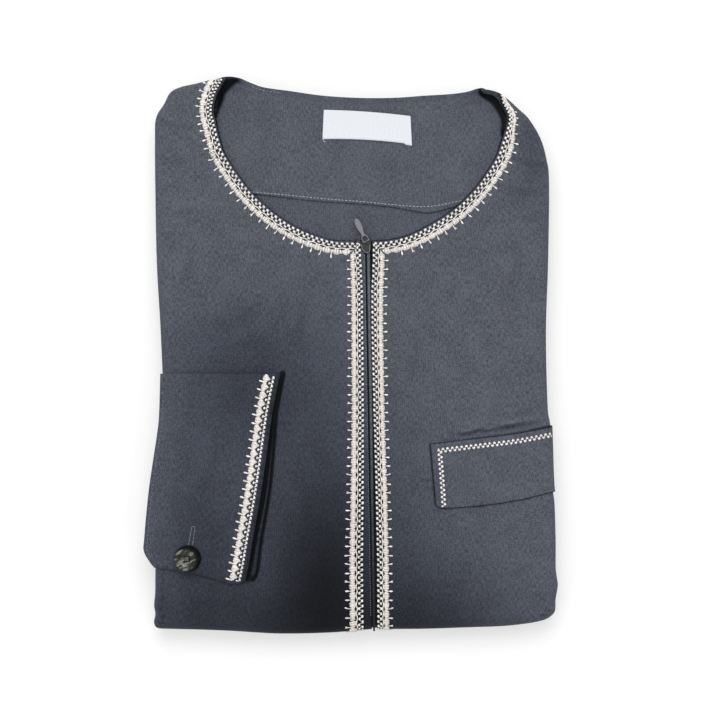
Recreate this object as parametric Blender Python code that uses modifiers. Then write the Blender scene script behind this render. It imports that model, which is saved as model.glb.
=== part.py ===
"""Thobe robe, folded into a flat packet.

The front lies uppermost with its closed zip, braided neck edge and patch pocket. The back shows
through the neck, and one sleeve comes round the left fold and lays its buttoned cuff on the front.
Every length in the tables and formulas is in millimetres; MM turns them into metres when a mesh
is made. +Y runs from the hem fold to the shoulders and +Z is up. The origin is under the middle
of the packet, on the surface that it lies on.
"""
import math

import bmesh
import bpy
import numpy as np
from mathutils import Matrix, Vector
from mathutils.bvhtree import BVHTree

MM = 0.001

# Cloth walls and the clearances between them
FRONT_WALL = 1.3
BACK_WALL = 1.0
CUFF_WALL = 1.4
UNDER_WALL = 1.0
SLEEVE_WALL = 1.2
POCKET_WALL = 1.1
BRAID_WALL = 0.8
LABEL_WALL = 0.6
GAP = 0.35

# Heights of the stack
FRONT_TOP = 26.2
FILL_TOP = 24.2
BACK_TOP = 25.8

# The rounded fold of the front round the packet's edges
SIDE_ROLL = 5.0
HEM_ROLL = 8.0
ROLL_STEPS = 6
ROLL_END = math.radians(160)

# Height at which the front's fold meets the layers below it, on each side of the packet
SPLIT_SIDE = 16.6
SPLIT_HEM = 8.3
SPLIT_TOP = 14.4

# Zip: centre line, lips and coil
ZIP_TOP_Y = 73.5
ZIP_TOP_X = 11.06
ZIP_LEAN = 0.01716
LIP_LEFT = -0.6
LIP_RIGHT = 3.7
COIL_LEFT = 0.4
COIL_RIGHT = 2.8
TAPE_HALF = 10.0
TAPE_WALL = 0.8

# Edges of the braid, measured from the inner side of the neck edge
NECK_TURN = 1.2
BRAID_WIDTH = 8.5
PICOT_REACH = 3.2
PICOT_PITCH = 6.25
ROLL_LIFT = 0.3
NECK_BRAID_TOP = {-1: 183.0, 1: 165.5}

# Side folds of the front (y, x), from the shoulder to the hem fold
LEFT_FOLD = (
    (183.0, -125.0), (176.0, -129.6), (166.0, -135.4), (150.0, -136.9), (121.0, -136.4),
    (65.0, -135.5), (15.0, -132.6), (-42.0, -131.2), (-94.0, -133.2), (-143.0, -136.6),
    (-170.0, -137.2), (-184.0, -136.6),
)
RIGHT_FOLD = (
    (171.5, 118.7), (165.2, 125.7), (152.0, 132.9), (138.0, 136.6), (121.0, 138.2),
    (65.0, 137.6), (15.0, 136.0), (-36.0, 136.9), (-52.0, 139.0), (-90.0, 140.4),
    (-129.0, 142.4), (-150.0, 143.4), (-162.0, 144.4), (-172.0, 143.0), (-178.0, 141.6),
)
# Shoulder folds (x, y), from the neck outwards
LEFT_SHOULDER = ((-89.4, 193.6), (-97.0, 192.6), (-109.0, 189.2), (-119.5, 187.6))
RIGHT_SHOULDER = ((91.5, 186.2), (98.0, 184.6), (104.7, 182.4), (111.7, 177.8))
# Hem fold (x, y), from left to right
HEM_FOLD = (
    (-131.5, -190.2), (-107.0, -191.8), (-84.0, -192.6), (-50.0, -194.5), (-14.0, -193.4),
    (14.0, -192.5), (50.0, -191.2), (84.0, -189.7), (106.0, -188.9), (121.0, -187.4),
    (133.5, -184.8),
)
# Edge of the braid round the neck (x, y), from the shoulder down to the zip
LEFT_NECK = (
    (-90.2, 190.0), (-95.4, 179.0), (-94.3, 164.5), (-87.4, 138.0), (-69.8, 113.4),
    (-44.2, 92.1), (-14.8, 79.9), (9.6, 78.6),
)
RIGHT_NECK = (
    (93.0, 181.8), (103.6, 174.3), (109.4, 163.0), (102.6, 138.0), (87.9, 116.2),
    (69.2, 98.7), (41.7, 83.3), (14.8, 78.6),
)
# Edge of the back at the neck (x, y), and the lower edge of its facing
BACK_RIM = (
    (-101.0, 174.0), (-96.0, 182.0), (-90.0, 189.4), (-84.0, 193.6), (-77.0, 194.3),
    (-70.0, 190.7), (-60.0, 187.0), (-42.0, 184.3), (-20.0, 181.2), (5.0, 179.6),
    (30.0, 179.5), (52.0, 181.2), (70.0, 182.4), (82.0, 184.6), (88.0, 185.2),
    (92.0, 182.6), (97.0, 177.6), (104.0, 170.4), (109.0, 164.6), (114.0, 158.0),
)
FACING_LINE = (
    (-101.0, 113.5), (-69.0, 112.8), (-43.0, 110.2), (-10.0, 108.7), (20.0, 105.8),
    (47.6, 100.6), (63.5, 101.5), (79.0, 107.6), (114.0, 112.0),
)
BACK_COLUMNS = (-101, -96, -90.5, -84, -76, -64, -44, -20, 5, 30, 52, 68, 80, 88, 93, 99, 106, 114)
FACING_ROWS = 8
BACK_ROWS = 3

# Broad swells and dips of the front (x, y, length, width, turn in degrees, height)
FOLDS = (
    (-72.0, -110.0, 80.0, 42.0, 12.0, 0.8),
    (82.0, -135.0, 60.0, 34.0, -8.0, 0.9),
    (88.0, 20.0, 60.0, 36.0, 70.0, 0.6),
    (-96.0, 70.0, 60.0, 24.0, 80.0, 0.6),
    (-84.0, 30.0, 30.0, 13.0, 20.0, -0.8),
    (122.0, 128.0, 22.0, 9.0, -14.0, -0.7),
    (-120.0, 158.0, 20.0, 9.0, -8.0, -0.7),
)

# Cuff: hand edge and sleeve edge (y, x), lower edge (x, y)
CUFF_TOP_Y = -13.0
CUFF_HAND = (
    (-13.0, -49.0), (-39.2, -54.2), (-56.7, -56.8), (-93.8, -62.0), (-128.1, -68.0),
    (-146.3, -71.0), (-159.6, -73.8),
)
CUFF_SLEEVE = (
    (-13.0, -133.0), (-42.0, -133.9), (-56.7, -135.5), (-93.8, -141.0), (-128.0, -144.3),
    (-137.0, -144.6), (-144.0, -141.0), (-149.0, -137.2),
)
CUFF_LOWER = ((-137.2, -149.0), (-120.8, -151.4), (-104.0, -154.8), (-84.0, -160.4), (-73.8, -159.6))
CUFF_LIFT = 2.9
UNDER_SHOWS = ((-13.0, 4.5), (-56.0, 5.0), (-94.0, 5.4), (-128.0, 7.2), (-146.0, 7.0), (-157.0, 5.0))
CUFF_PITCH = 5.9
CUFF_MARGIN = 3.0
CUFF_BRAID = 7.2
SLEEVE_SPAN = (-20.0, -145.0)
SLEEVE_START = -119.5
# Down the side of the packet: height, share of the bulge, tuck inwards
SLEEVE_DROP = ((15.0, 0.6, -0.3), (9.5, 0.8, -0.3), (4.5, 0.5, -0.2), (1.6, 0.1, 0.9))

# Patch pocket: mouth, lower seam and inner side (x, y)
POCKET_MOUTH = ((55.8, -62.3), (88.3, -58.3), (112.4, -55.4), (130.6, -52.3), (140.8, -50.0))
POCKET_SEAM = ((59.6, -105.6), (66.0, -107.4), (88.3, -105.8), (106.4, -103.6), (124.5, -100.2),
               (142.6, -95.4))
POCKET_ROLL_END = math.radians(120)

# Button
BUTTON_AT = (-114.1, -142.6)
BUTTON_RADIUS = 8.7
BUTTON_THICK = 3.0
BUTTON_TILT = math.radians(5)

# Neck label corners (x, y): upper left, upper right, lower right, lower left
LABEL_CORNERS = ((-18.8, 171.9), (42.1, 167.5), (43.1, 147.5), (-19.7, 151.2))

# Zip slider and its pull tab
SLIDER_LENGTH = 11.4
SLIDER_WIDTH = 6.2
SLIDER_PLATE = 1.3
SLIDER_AT = (11.2, 76.7)
HINGE_AT = (11.0, 79.4)
HINGE_RISE = 1.45
BRIDGE_SPAN = 1.9
BRIDGE_WIRE = 0.4
PULL_LEAN = math.radians(25)
PULL_DROOP = math.radians(11)
PULL_LENGTH = 18.0
PULL_THICK = 1.0


# ---- curves -------------------------------------------------------------------------------

def smooth(low, high, value):
    """Ease from 0 at low to 1 at high."""
    share = np.clip((np.asarray(value, float) - low) / (high - low), 0.0, 1.0)
    return share * share * (3.0 - 2.0 * share)


def spline(rows, steps=10):
    """A dense smooth curve through the rows (Catmull-Rom)."""
    rows = np.array(rows, float)
    ends = np.vstack([2 * rows[0] - rows[1], rows, 2 * rows[-1] - rows[-2]])
    points = []
    for i in range(1, len(ends) - 2):
        before, start, stop, after = ends[i - 1:i + 3]
        for t in np.arange(steps) / steps:
            points.append(0.5 * (2 * start + (stop - before) * t
                                 + (2 * before - 5 * start + 4 * stop - after) * t ** 2
                                 + (3 * start - before - 3 * stop + after) * t ** 3))
    points.append(rows[-1])
    return np.array(points)


def swapped(rows):
    """Rows of (y, x) as rows of (x, y)."""
    return [(x, y) for y, x in rows]


def lengths(points):
    """Distance along the points, at each of them."""
    return np.concatenate([[0.0], np.cumsum(np.linalg.norm(np.diff(points, axis=0), axis=1))])


def along(points, distance):
    """Points at the given distances along a curve."""
    run = lengths(points)
    return np.stack([np.interp(distance, run, points[:, 0]),
                     np.interp(distance, run, points[:, 1])], axis=-1)


def left_normals(points):
    """Unit vectors to the left of the way the curve runs."""
    step = np.gradient(points, axis=0)
    step /= np.linalg.norm(step, axis=1)[:, None]
    return np.stack([-step[:, 1], step[:, 0]], axis=-1)


def nearest(points, place):
    """Distance along the curve to its point nearest the place."""
    return lengths(points)[np.argmin(np.linalg.norm(points - np.array(place), axis=1))]


def zip_x(y):
    """The zip's centre line."""
    return ZIP_TOP_X + (ZIP_TOP_Y - np.asarray(y, float)) * ZIP_LEAN


# ---- the lie of the cloth -----------------------------------------------------------------

NECK_EDGE = np.vstack([spline(LEFT_NECK), spline(RIGHT_NECK)[::-1]])
HEM_CURVE = spline(HEM_FOLD)
LEFT_CURVE = spline(swapped(LEFT_FOLD))
RIGHT_CURVE = spline(swapped(RIGHT_FOLD))
RIM_CURVE = spline(BACK_RIM)
FACING_CURVE = spline(FACING_LINE)


def neck_distance(x, y):
    """Distance from the neck edge."""
    place = np.stack([np.asarray(x, float), np.asarray(y, float)], axis=-1)
    return np.min(np.linalg.norm(place[..., None, :] - NECK_EDGE, axis=-1), axis=-1)


def fold_height(x, y):
    """Sum of the broad swells and dips."""
    total = np.zeros(np.broadcast(x, y).shape)
    for at_x, at_y, length, width, turn, height in FOLDS:
        cos, sin = math.cos(math.radians(turn)), math.sin(math.radians(turn))
        run = (x - at_x) * cos + (y - at_y) * sin
        across = (y - at_y) * cos - (x - at_x) * sin
        total = total + height * np.exp(-(run / length) ** 2 - (across / width) ** 2)
    return total


def front_height(x, y):
    """Outer face of the front: thicker at the zip and the neck, curled up at the shoulders."""
    x, y = np.asarray(x, float), np.asarray(y, float)
    away = neck_distance(x, y)
    at_zip = 1 - smooth(11, 26, np.abs(x - zip_x(y) - 1.5))
    at_neck = 1 - smooth(12, 28, away)
    thick = 1.4 * np.maximum(at_zip, at_neck) + 1.2 * at_zip * at_neck
    facing = 1.4 * at_neck * smooth(84, 108, y)
    curl = 2.0 * np.exp(-(away / 9) ** 2) * smooth(150, 182, y)
    return FRONT_TOP + thick + facing + curl + fold_height(x, y)


def back_height(x, y):
    """Upper face of the back seen through the neck: it sinks towards its rolled rim."""
    x, y = np.asarray(x, float), np.asarray(y, float)
    edge = np.interp(x, RIM_CURVE[:, 0], RIM_CURVE[:, 1]) - y
    ends = smooth(-62, -86, x) + smooth(68, 92, x)
    sunk = 5.6 * smooth(84, 178, y)
    roll = 1.8 * (1 - smooth(0, 6, edge))
    lift = 7.0 * ends * (1 - smooth(0, 11, edge))
    hollow = 1.6 * np.exp(-((x + 84) / 9) ** 2 - ((y - 177) / 9) ** 2)
    hollow = hollow + 1.6 * np.exp(-((x - 97) / 9) ** 2 - ((y - 170) / 9) ** 2)
    return BACK_TOP - sunk - roll + lift - hollow


def fill_height(x, y):
    """Top of the hidden layers: lower under the neck, clear of the back's hollow."""
    under_neck = (1 - smooth(116, 130, np.abs(x - 7))) * smooth(80, 150, y)
    return FILL_TOP - 7.0 * under_neck


def roll_width(x, y):
    """How far the front's rounded fold reaches in from its outermost line."""
    at_hem = smooth(-178, -188, y) * (1 - smooth(104, 130, np.abs(x)))
    return SIDE_ROLL + (HEM_ROLL - SIDE_ROLL) * at_hem


def split_height(y):
    """Height of the crease between the front's fold and the layers below, by place."""
    hem = smooth(-130, -184, y)
    top = smooth(140, 172, y)
    return SPLIT_SIDE + (SPLIT_HEM - SPLIT_SIDE) * hem + (SPLIT_TOP - SPLIT_SIDE) * top


# ---- mesh tools ---------------------------------------------------------------------------

def finish(name, colour, roughness, metallic=0.0):
    """A Principled material of one sRGB colour."""
    linear = [((c / 255 + 0.055) / 1.055) ** 2.4 for c in colour]
    material = bpy.data.materials.new(name)
    material.use_nodes = True
    shader = material.node_tree.nodes["Principled BSDF"]
    shader.inputs["Base Color"].default_value = (*linear, 1.0)
    shader.inputs["Roughness"].default_value = roughness
    shader.inputs["Metallic"].default_value = metallic
    return material


def sheet_object(name, points, faces, material, wall=0.0, outward=True):
    """An object from points in millimetres; a wall makes the open sheet solid."""
    mesh = bpy.data.meshes.new(name)
    mesh.from_pydata([tuple(float(c) * MM for c in p) for p in points], [], faces)
    mesh.materials.append(material)
    mesh.shade_smooth()
    mesh.set_sharp_from_angle(angle=math.radians(40))
    piece = bpy.data.objects.new(name, mesh)
    PARTS.objects.link(piece)
    if wall:
        solid = piece.modifiers.new("wall", "SOLIDIFY")
        solid.thickness = wall * MM
        solid.offset = 1.0 if outward else -1.0
        solid.use_quality_normals = True
    return piece


def grid_faces(rows, columns):
    """Quads of a grid whose rows run away from its columns' left-hand side, facing up."""
    faces = []
    for r in range(rows - 1):
        for c in range(columns - 1):
            corner = r * columns + c
            faces.append((corner, corner + columns, corner + columns + 1, corner + 1))
    return faces


def facing_up(points, faces):
    """The faces, turned over if the first one looks down."""
    a, b, c = (Vector(points[i]) for i in faces[len(faces) // 2][:3])
    if (b - a).cross(c - a).z < 0:
        return [tuple(reversed(face)) for face in faces]
    return faces


def grid_sheet(name, grid, material, wall, lift=0.0, outward=True):
    """A cloth wall on a grid of points, raised along the grid's own normals."""
    rows, columns = grid.shape[:2]
    points = grid.reshape(-1, 3)
    faces = facing_up(points, grid_faces(rows, columns))
    if lift:
        points = points + lift * grid_normals(grid, faces, points)
    return sheet_object(name, points, faces, material, wall, outward)


def grid_normals(grid, faces, points):
    """Unit normals at a grid's points, on the side its faces look to."""
    along_row = np.gradient(grid, axis=1)
    along_column = np.gradient(grid, axis=0)
    normals = np.cross(along_column, along_row).reshape(-1, 3)
    normals /= np.linalg.norm(normals, axis=1)[:, None]
    a, b, c = (Vector(points[i]) for i in faces[0][:3])
    if (b - a).cross(c - a).dot(Vector(normals[faces[0][0]])) < 0:
        normals = -normals
    return normals


def surface_of(piece):
    """A search tree on a sheet's outer face, in millimetres."""
    points = [tuple(c / MM for c in v.co) for v in piece.data.vertices]
    return BVHTree.FromPolygons(points, [tuple(p.vertices) for p in piece.data.polygons])


def drop(tree, x, y):
    """The surface's point and normal under (x, y), or the nearest ones past its edge."""
    hit, normal, _, _ = tree.ray_cast(Vector((x, y, 90.0)), Vector((0, 0, -1)))
    if hit is None:
        hit, normal, _, _ = tree.find_nearest(Vector((x, y, FRONT_TOP)))
    return hit, normal


# ---- hidden layers ------------------------------------------------------------------------

# One row for each ring: height and inset at the sides, at the hem fold and at the shoulders.
# Heights from "lip" on are shares of the way from the crease to the top.
LAYER_RINGS = (
    # name        side           hem            shoulder
    ("sole", (0.0, 3.2), (0.0, 3.2), (0.0, 4.5)),
    ("lower 1", (1.0, 1.2), (0.9, 1.2), (1.6, 2.0)),
    ("lower 2", (4.1, 0.4), (3.4, 0.3), (4.2, 0.8)),
    ("lower 3", (7.3, 1.3), (5.2, 0.5), (6.4, 0.4)),
    ("crease", (8.3, 3.8), (6.0, 0.8), (7.8, 0.4)),
    ("middle 1", (9.3, 1.3), (6.6, 1.1), (9.2, 0.5)),
    ("middle 2", (12.4, 0.5), (7.2, 1.7), (11.4, 1.0)),
    ("middle 3", (15.6, 1.6), (7.7, 2.6), (13.2, 2.2)),
    ("split", (16.6, 6.2), (8.3, 6.6), (14.4, 6.6)),
)
FILL_RINGS = (
    # name, share of the height, inset
    ("lip", 0.05, 7.4),
    ("fill 1", 0.35, 6.2),
    ("fill 2", 0.75, 6.2),
    ("shoulder", 1.0, 9.0),
)
CAP_SCALES = (0.86, 0.62, 0.32)
PACKET_INSET = 0.9


def packet_outline():
    """The packet's outline as one closed curve, from the hem's left end clockwise."""
    rows = [tuple(row) for row in swapped(LEFT_FOLD)[::-1]]
    rows += list(LEFT_SHOULDER[::-1])
    rows += [(-70.0, 189.0), (-52.0, 184.5), (-22.0, 180.0), (8.0, 178.2), (42.0, 179.0), (70.0, 182.0)]
    rows += list(RIGHT_SHOULDER)
    rows += swapped(RIGHT_FOLD)
    rows += list(HEM_FOLD[::-1])
    rows.append(rows[0])
    return spline(rows, 8)


def thinned(points, normals, turn=math.radians(11), reach=30.0):
    """Fewer points of a curve: more where it turns, fewer where it runs straight."""
    kept = [0]
    for i in range(1, len(points) - 1):
        bend = math.acos(float(np.clip(np.dot(normals[i], normals[kept[-1]]), -1, 1)))
        if bend > turn or np.linalg.norm(points[i] - points[kept[-1]]) > reach:
            kept.append(i)
    return kept


def folded_layers(material):
    """All hidden layers as one rounded solid: three folded stacks show at its edges."""
    outline = packet_outline()
    normals = left_normals(outline)
    kept = thinned(outline, normals)
    outline, normals = outline[kept], normals[kept]
    hem = smooth(-130, -184, outline[:, 1])
    top = smooth(140, 172, outline[:, 1])
    rings = []
    for _, side, low, high in LAYER_RINGS:
        height = side[0] + (low[0] - side[0]) * hem + (high[0] - side[0]) * top
        inset = side[1] + (low[1] - side[1]) * hem + (high[1] - side[1]) * top + PACKET_INSET
        ring = outline - normals * inset[:, None]
        rings.append(np.column_stack([ring, height]))
    split = split_height(outline[:, 1]) + 0.3
    for _, share, depth in FILL_RINGS:
        ring = outline - normals * depth
        height = split + share * (fill_height(ring[:, 0], ring[:, 1]) - split)
        rings.append(np.column_stack([ring, height]))
    for scale in CAP_SCALES:
        ring = (outline - normals * FILL_RINGS[-1][2]) * scale
        rings.append(np.column_stack([ring, fill_height(ring[:, 0], ring[:, 1])]))
    count = len(outline)
    points = np.vstack(rings + [[[0.0, 0.0, FILL_TOP]]])
    faces = [tuple(range(count))]
    for r in range(len(rings) - 1):
        for i in range(count):
            here, there = r * count + i, r * count + (i + 1) % count
            faces.append((here, here + count, there + count, there))
    last = (len(rings) - 1) * count
    faces += [(last + i, len(points) - 1, last + (i + 1) % count) for i in range(count)]
    return sheet_object("folded_layers", points, faces, material)


# ---- fronts -------------------------------------------------------------------------------

FIRST_COLUMNS = (0.0, 5.0, 11.0, 18.0, 27.0)
LAST_COLUMNS = (14.0, 6.0, 0.0)
FULL_WIDTH = 75.0
NECK_SHARES = (0.0, 0.055, 0.11, 0.2, 0.31, 0.42, 0.53, 0.64, 0.75, 0.87, 1.0)
NECK_ROWS = len(NECK_SHARES)
ZIP_SHARES = (0.1, 0.2, 0.3, 0.4, 0.5, 0.6, 0.7, 0.8, 0.89, 0.96, 0.985, 1.0)
SIDE_SHARE = 0.31


def front_folds(side):
    """Fold line of one front: shoulder, side and hem, from the neck to the zip."""
    if side < 0:
        rows = list(LEFT_SHOULDER) + swapped(LEFT_FOLD)
        hem = [row for row in HEM_FOLD if row[0] < 10] + [(zip_x(-192) + LIP_LEFT, -192.5)]
    else:
        rows = list(RIGHT_SHOULDER) + swapped(RIGHT_FOLD)
        hem = [row for row in HEM_FOLD[::-1] if row[0] > 24] + [(zip_x(-192) + LIP_RIGHT, -192.4)]
    return spline(rows + hem, 8)


def column_shares(width):
    """Places of a row's points, close together near both edges."""
    scale = min(1.0, width / FULL_WIDTH) / width
    first = np.array(FIRST_COLUMNS) * scale
    last = 1.0 - np.array(LAST_COLUMNS) * scale
    return np.concatenate([first, [(first[-1] * 2 + last[0]) / 3, (first[-1] + last[0] * 2) / 3], last])


def front_panel(name, side, material):
    """One front: a patch between the neck and zip edge and the folds, and its rounded fold."""
    neck = LEFT_NECK if side < 0 else RIGHT_NECK
    corner_top = LEFT_FOLD[0][::-1] if side < 0 else RIGHT_FOLD[0][::-1]
    corner_low = LEFT_FOLD[-1][::-1] if side < 0 else RIGHT_FOLD[-1][::-1]
    lip = LIP_LEFT if side < 0 else LIP_RIGHT
    fold = front_folds(side)
    inner_fold = fold - side * left_normals(fold) * roll_width(fold[:, 0], fold[:, 1])[:, None]
    run = lengths(fold)
    a_top, a_low, total = nearest(fold, corner_top), nearest(fold, corner_low), run[-1]

    def fold_at(distance):
        share = np.interp(distance, run, np.arange(len(run)))
        whole = np.clip(share.astype(int), 0, len(run) - 2)
        part = (share - whole)[..., None]
        outer = fold[whole] * (1 - part) + fold[whole + 1] * part
        inner = inner_fold[whole] * (1 - part) + inner_fold[whole + 1] * part
        return outer, inner

    edge = spline(neck)
    edge = edge - side * left_normals(edge) * NECK_TURN
    neck_low = np.array([zip_x(79.8) + lip, 79.8])
    edge[-1] = neck_low
    start = fold_at(np.array([0.0]))[1][0]
    stop = fold_at(np.array([total]))[1][0]
    edge = np.vstack([[start], edge[3:]])
    neck_stations = along(edge, np.array(NECK_SHARES) * lengths(edge)[-1])
    zip_line = np.array([neck_low, stop])
    zip_stations = along(zip_line, np.array(ZIP_SHARES) * lengths(zip_line)[-1])
    inner = np.vstack([neck_stations, zip_stations])
    reach = a_low - a_top
    stations = np.concatenate([
        a_top + SIDE_SHARE * reach * np.array(NECK_SHARES),
        a_top + reach * (SIDE_SHARE + (1 - SIDE_SHARE) * np.array(ZIP_SHARES))])
    outer_out, outer_in = fold_at(stations)
    rows = len(inner)
    shares = np.array([column_shares(max(np.linalg.norm(outer_in[r] - inner[r]), 34.0))
                       for r in range(rows)])
    shares[0] = column_shares(a_top)
    shares[-1] = column_shares(total - a_low)
    top_out, top_in = fold_at(shares[0] * a_top)
    low_out, low_in = fold_at(total - shares[-1] * (total - a_low))
    down = np.concatenate([0.42 * np.array(NECK_SHARES), 0.42 + 0.58 * np.array(ZIP_SHARES)])
    columns = shares.shape[1]
    grid = np.zeros((rows, columns, 2))
    for r in range(rows):
        for c in range(columns):
            u, v = shares[r, c], down[r]
            top = fold_at(np.array([u * a_top]))[1][0]
            low = fold_at(np.array([total - u * (total - a_low)]))[1][0]
            across = (1 - u) * inner[r] + u * outer_in[r]
            up_down = (1 - v) * top + v * low
            corners = ((1 - u) * (1 - v) * inner[0] + u * (1 - v) * outer_in[0]
                       + (1 - u) * v * inner[-1] + u * v * outer_in[-1])
            grid[r, c] = across + up_down - corners
    heights = front_height(grid[..., 0], grid[..., 1])
    patch = np.dstack([grid, heights])
    chain = [(0, c) for c in range(columns)] + [(r, columns - 1) for r in range(1, rows)]
    chain += [(rows - 1, c) for c in range(columns - 2, -1, -1)]
    outs = np.vstack([top_out, outer_out[1:], low_out[:-1][::-1]])
    points = [tuple(p) for p in patch.reshape(-1, 3)]
    faces = grid_faces(rows, columns)
    ring = [r * columns + c for r, c in chain]
    for step in range(1, ROLL_STEPS + 1):
        angle = ROLL_END * step / ROLL_STEPS
        after = []
        for (r, c), out in zip(chain, outs):
            x, y, z = patch[r, c]
            low = split_height(y) + 0.4
            flat = np.array([x, y]) + (out - np.array([x, y])) * math.sin(angle)
            points.append((flat[0], flat[1], (z + low) / 2 + (z - low) / 2 * math.cos(angle)))
            after.append(len(points) - 1)
        for i in range(len(ring) - 1):
            faces.append((ring[i], ring[i + 1], after[i + 1], after[i]))
        ring = after
    points = np.array(points)
    mesh_faces = oriented(points, faces)
    return sheet_object(name, points, mesh_faces, material, FRONT_WALL, outward=False)


def oriented(points, faces):
    """The faces with one consistent side, the first of them looking up."""
    work = bmesh.new()
    verts = [work.verts.new(p) for p in points]
    for face in faces:
        work.faces.new([verts[i] for i in face])
    bmesh.ops.recalc_face_normals(work, faces=work.faces)
    work.faces.ensure_lookup_table()
    if work.faces[0].normal.z < 0:
        bmesh.ops.reverse_faces(work, faces=work.faces)
    work.verts.index_update()
    result = [tuple(v.index for v in face.verts) for face in work.faces]
    work.free()
    return result


# ---- back ---------------------------------------------------------------------------------

def back_grid():
    """Points of the back inside the neck: columns across, rows from the rim to below the edge."""
    depth = 4.5
    lower = NECK_EDGE[np.argsort(NECK_EDGE[:, 0])]
    rows = []
    for x in BACK_COLUMNS:
        rim = np.interp(x, RIM_CURVE[:, 0], RIM_CURVE[:, 1])
        near = lower[np.abs(lower[:, 0] - x) < 6.5]
        foot = (near[:, 1].min() if len(near) else 160.0) - depth
        foot = min(foot, rim - 14.0)
        line = np.interp(x, FACING_CURVE[:, 0], FACING_CURVE[:, 1])
        line = max(line, foot + 2.0)
        levels = np.concatenate([rim - (rim - line) * np.array([0, .03, .07, .13, .24, .42, .68, 1.0]),
                                 np.linspace(line, foot, BACK_ROWS + 1)[1:]])
        rows.append([(x, y, float(back_height(x, y))) for y in levels])
    return np.array(rows).transpose(1, 0, 2)


def back_panels(cloth, facing_cloth):
    """The back's inside and its facing, which lies on it from the rim to its own seam."""
    grid = back_grid()
    back = grid_sheet("back_inside", grid, cloth, BACK_WALL, outward=False)
    facing = grid_sheet("back_neck_facing", grid[:FACING_ROWS], facing_cloth, BACK_WALL, GAP)
    return back, facing


def neck_label(tree, material):
    """Woven label on the facing, bowed a little between its stitched ends."""
    upper_left, upper_right, lower_right, lower_left = (np.array(c) for c in LABEL_CORNERS)
    grid = []
    for v in np.linspace(0, 1, 4):
        row = []
        for u in np.linspace(0, 1, 8):
            flat = ((1 - v) * ((1 - u) * upper_left + u * upper_right)
                    + v * ((1 - u) * lower_left + u * lower_right))
            hit, _ = drop(tree, *flat)
            row.append((flat[0], flat[1], hit.z + BACK_WALL + GAP + 0.5 * math.sin(math.pi * u)))
        grid.append(row)
    return grid_sheet("neck_label", np.array(grid), material, LABEL_WALL)


# ---- zip ----------------------------------------------------------------------------------

def hem_y(x):
    """The hem fold's place in y."""
    return float(np.interp(x, HEM_CURVE[:, 0], HEM_CURVE[:, 1]))


def zip_strip(name, left, right, top_depth, wall, start_y, columns, end, material):
    """A strip under or between the lips, along the zip and round the hem fold."""
    rows = []
    across = np.linspace(left, right, columns)
    for share in np.linspace(0, 1, 13):
        row = []
        for t in across:
            flat_end = hem_y(zip_x(-192) + t) + HEM_ROLL
            y = start_y + (flat_end - start_y) * share
            x = zip_x(y) + t
            row.append((x, y, float(front_height(x, y)) - top_depth))
        rows.append(row)
    for angle in np.linspace(0, end, 7)[1:]:
        row = []
        for x, flat_end, z in rows[12]:
            low = split_height(-190.0) + 0.4 + top_depth
            row.append((x, flat_end - (HEM_ROLL - top_depth) * math.sin(angle),
                        (z + low) / 2 + (z - low) / 2 * math.cos(angle)))
        rows.append(row)
    grid = np.array(rows, float)
    points = grid.reshape(-1, 3)
    return sheet_object(name, points, oriented(points, grid_faces(len(rows), columns)), material,
                        wall, outward=False)


# ---- braid --------------------------------------------------------------------------------

def braid(name, place, length, pitch, width, plain_end, material):
    """A scalloped braid with picots along its outer edge.

    place(s, t) gives a point of the cloth and its normal, s along the braid and t across it.
    """
    count = int(round(length / pitch))
    step = length / count
    half = 0.55
    points, faces = [], []

    def add(s, t):
        spot, normal = place(min(max(s, 0.0), length), t)
        points.append(tuple(spot + normal * GAP))
        return len(points) - 1

    inner_before = add(0, 0)
    base_before = add(0, width - 0.9)
    for k in range(count):
        start, stop = k * step, (k + 1) * step
        picot = stop + half < length - plain_end
        scallop = [add(start + step * share, width + bulge)
                   for share, bulge in ((0.22, -0.2), (0.46, 0.25), (0.72, -0.2))]
        middle = add(start + step * 0.46, 0)
        inner = add(stop + (half if picot else 0), 0)
        if picot:
            base_left = add(stop - half, width - 0.9)
            base_right = add(stop + half, width - 0.9)
            tip_left = add(stop - half * 0.8, width + PICOT_REACH - 0.9)
            tip_right = add(stop + half * 0.8, width + PICOT_REACH - 0.9)
            faces.append((base_left, base_right, tip_right, tip_left))
            outer = [base_right, base_left]
        else:
            outer = [add(stop, width - 0.9)]
        faces.append((middle, inner, *outer, scallop[2], scallop[1]))
        faces.append((inner_before, middle, scallop[1], scallop[0], base_before))
        inner_before, base_before = inner, outer[0]
    piece_faces = oriented(np.array(points), faces)
    return sheet_object(name, points, piece_faces, material, BRAID_WALL)


def kept_on_fold(spot, fold, fold_out):
    """Move a point near the packet's edge inwards, as cloth laid over the rounded fold would lie."""
    near = np.argmin(np.linalg.norm(fold - spot, axis=1))
    inside = -float(np.dot(spot - fold[near], fold_out[near]))
    past = SIDE_ROLL - inside
    if past <= 0:
        return spot
    bent = SIDE_ROLL * math.sin(min(past / SIDE_ROLL, 1.35))
    return spot - fold_out[near] * (past - bent)


def neck_braid(name, side, tree, material):
    """Braid along one side of the neck edge, from the shoulder to the zip."""
    edge = spline(LEFT_NECK if side < 0 else RIGHT_NECK)
    stop_x = zip_x(79) + side * 4.6
    edge = edge[(side * edge[:, 0] > side * stop_x) & (edge[:, 1] < NECK_BRAID_TOP[side])]
    outwards = side * left_normals(edge)
    run = lengths(edge)
    fold = front_folds(side)
    fold_out = side * left_normals(fold)

    def place(s, t):
        index = np.interp(s, run, np.arange(len(run)))
        low = min(int(index), len(run) - 2)
        part = index - low
        spot = edge[low] * (1 - part) + edge[low + 1] * part
        way = outwards[low] * (1 - part) + outwards[low + 1] * part
        spot = spot + way / np.linalg.norm(way) * t
        return drop(tree, *kept_on_fold(spot, fold, fold_out))

    return braid(name, place, run[-1], PICOT_PITCH, BRAID_WIDTH, 13.0, material)


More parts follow.
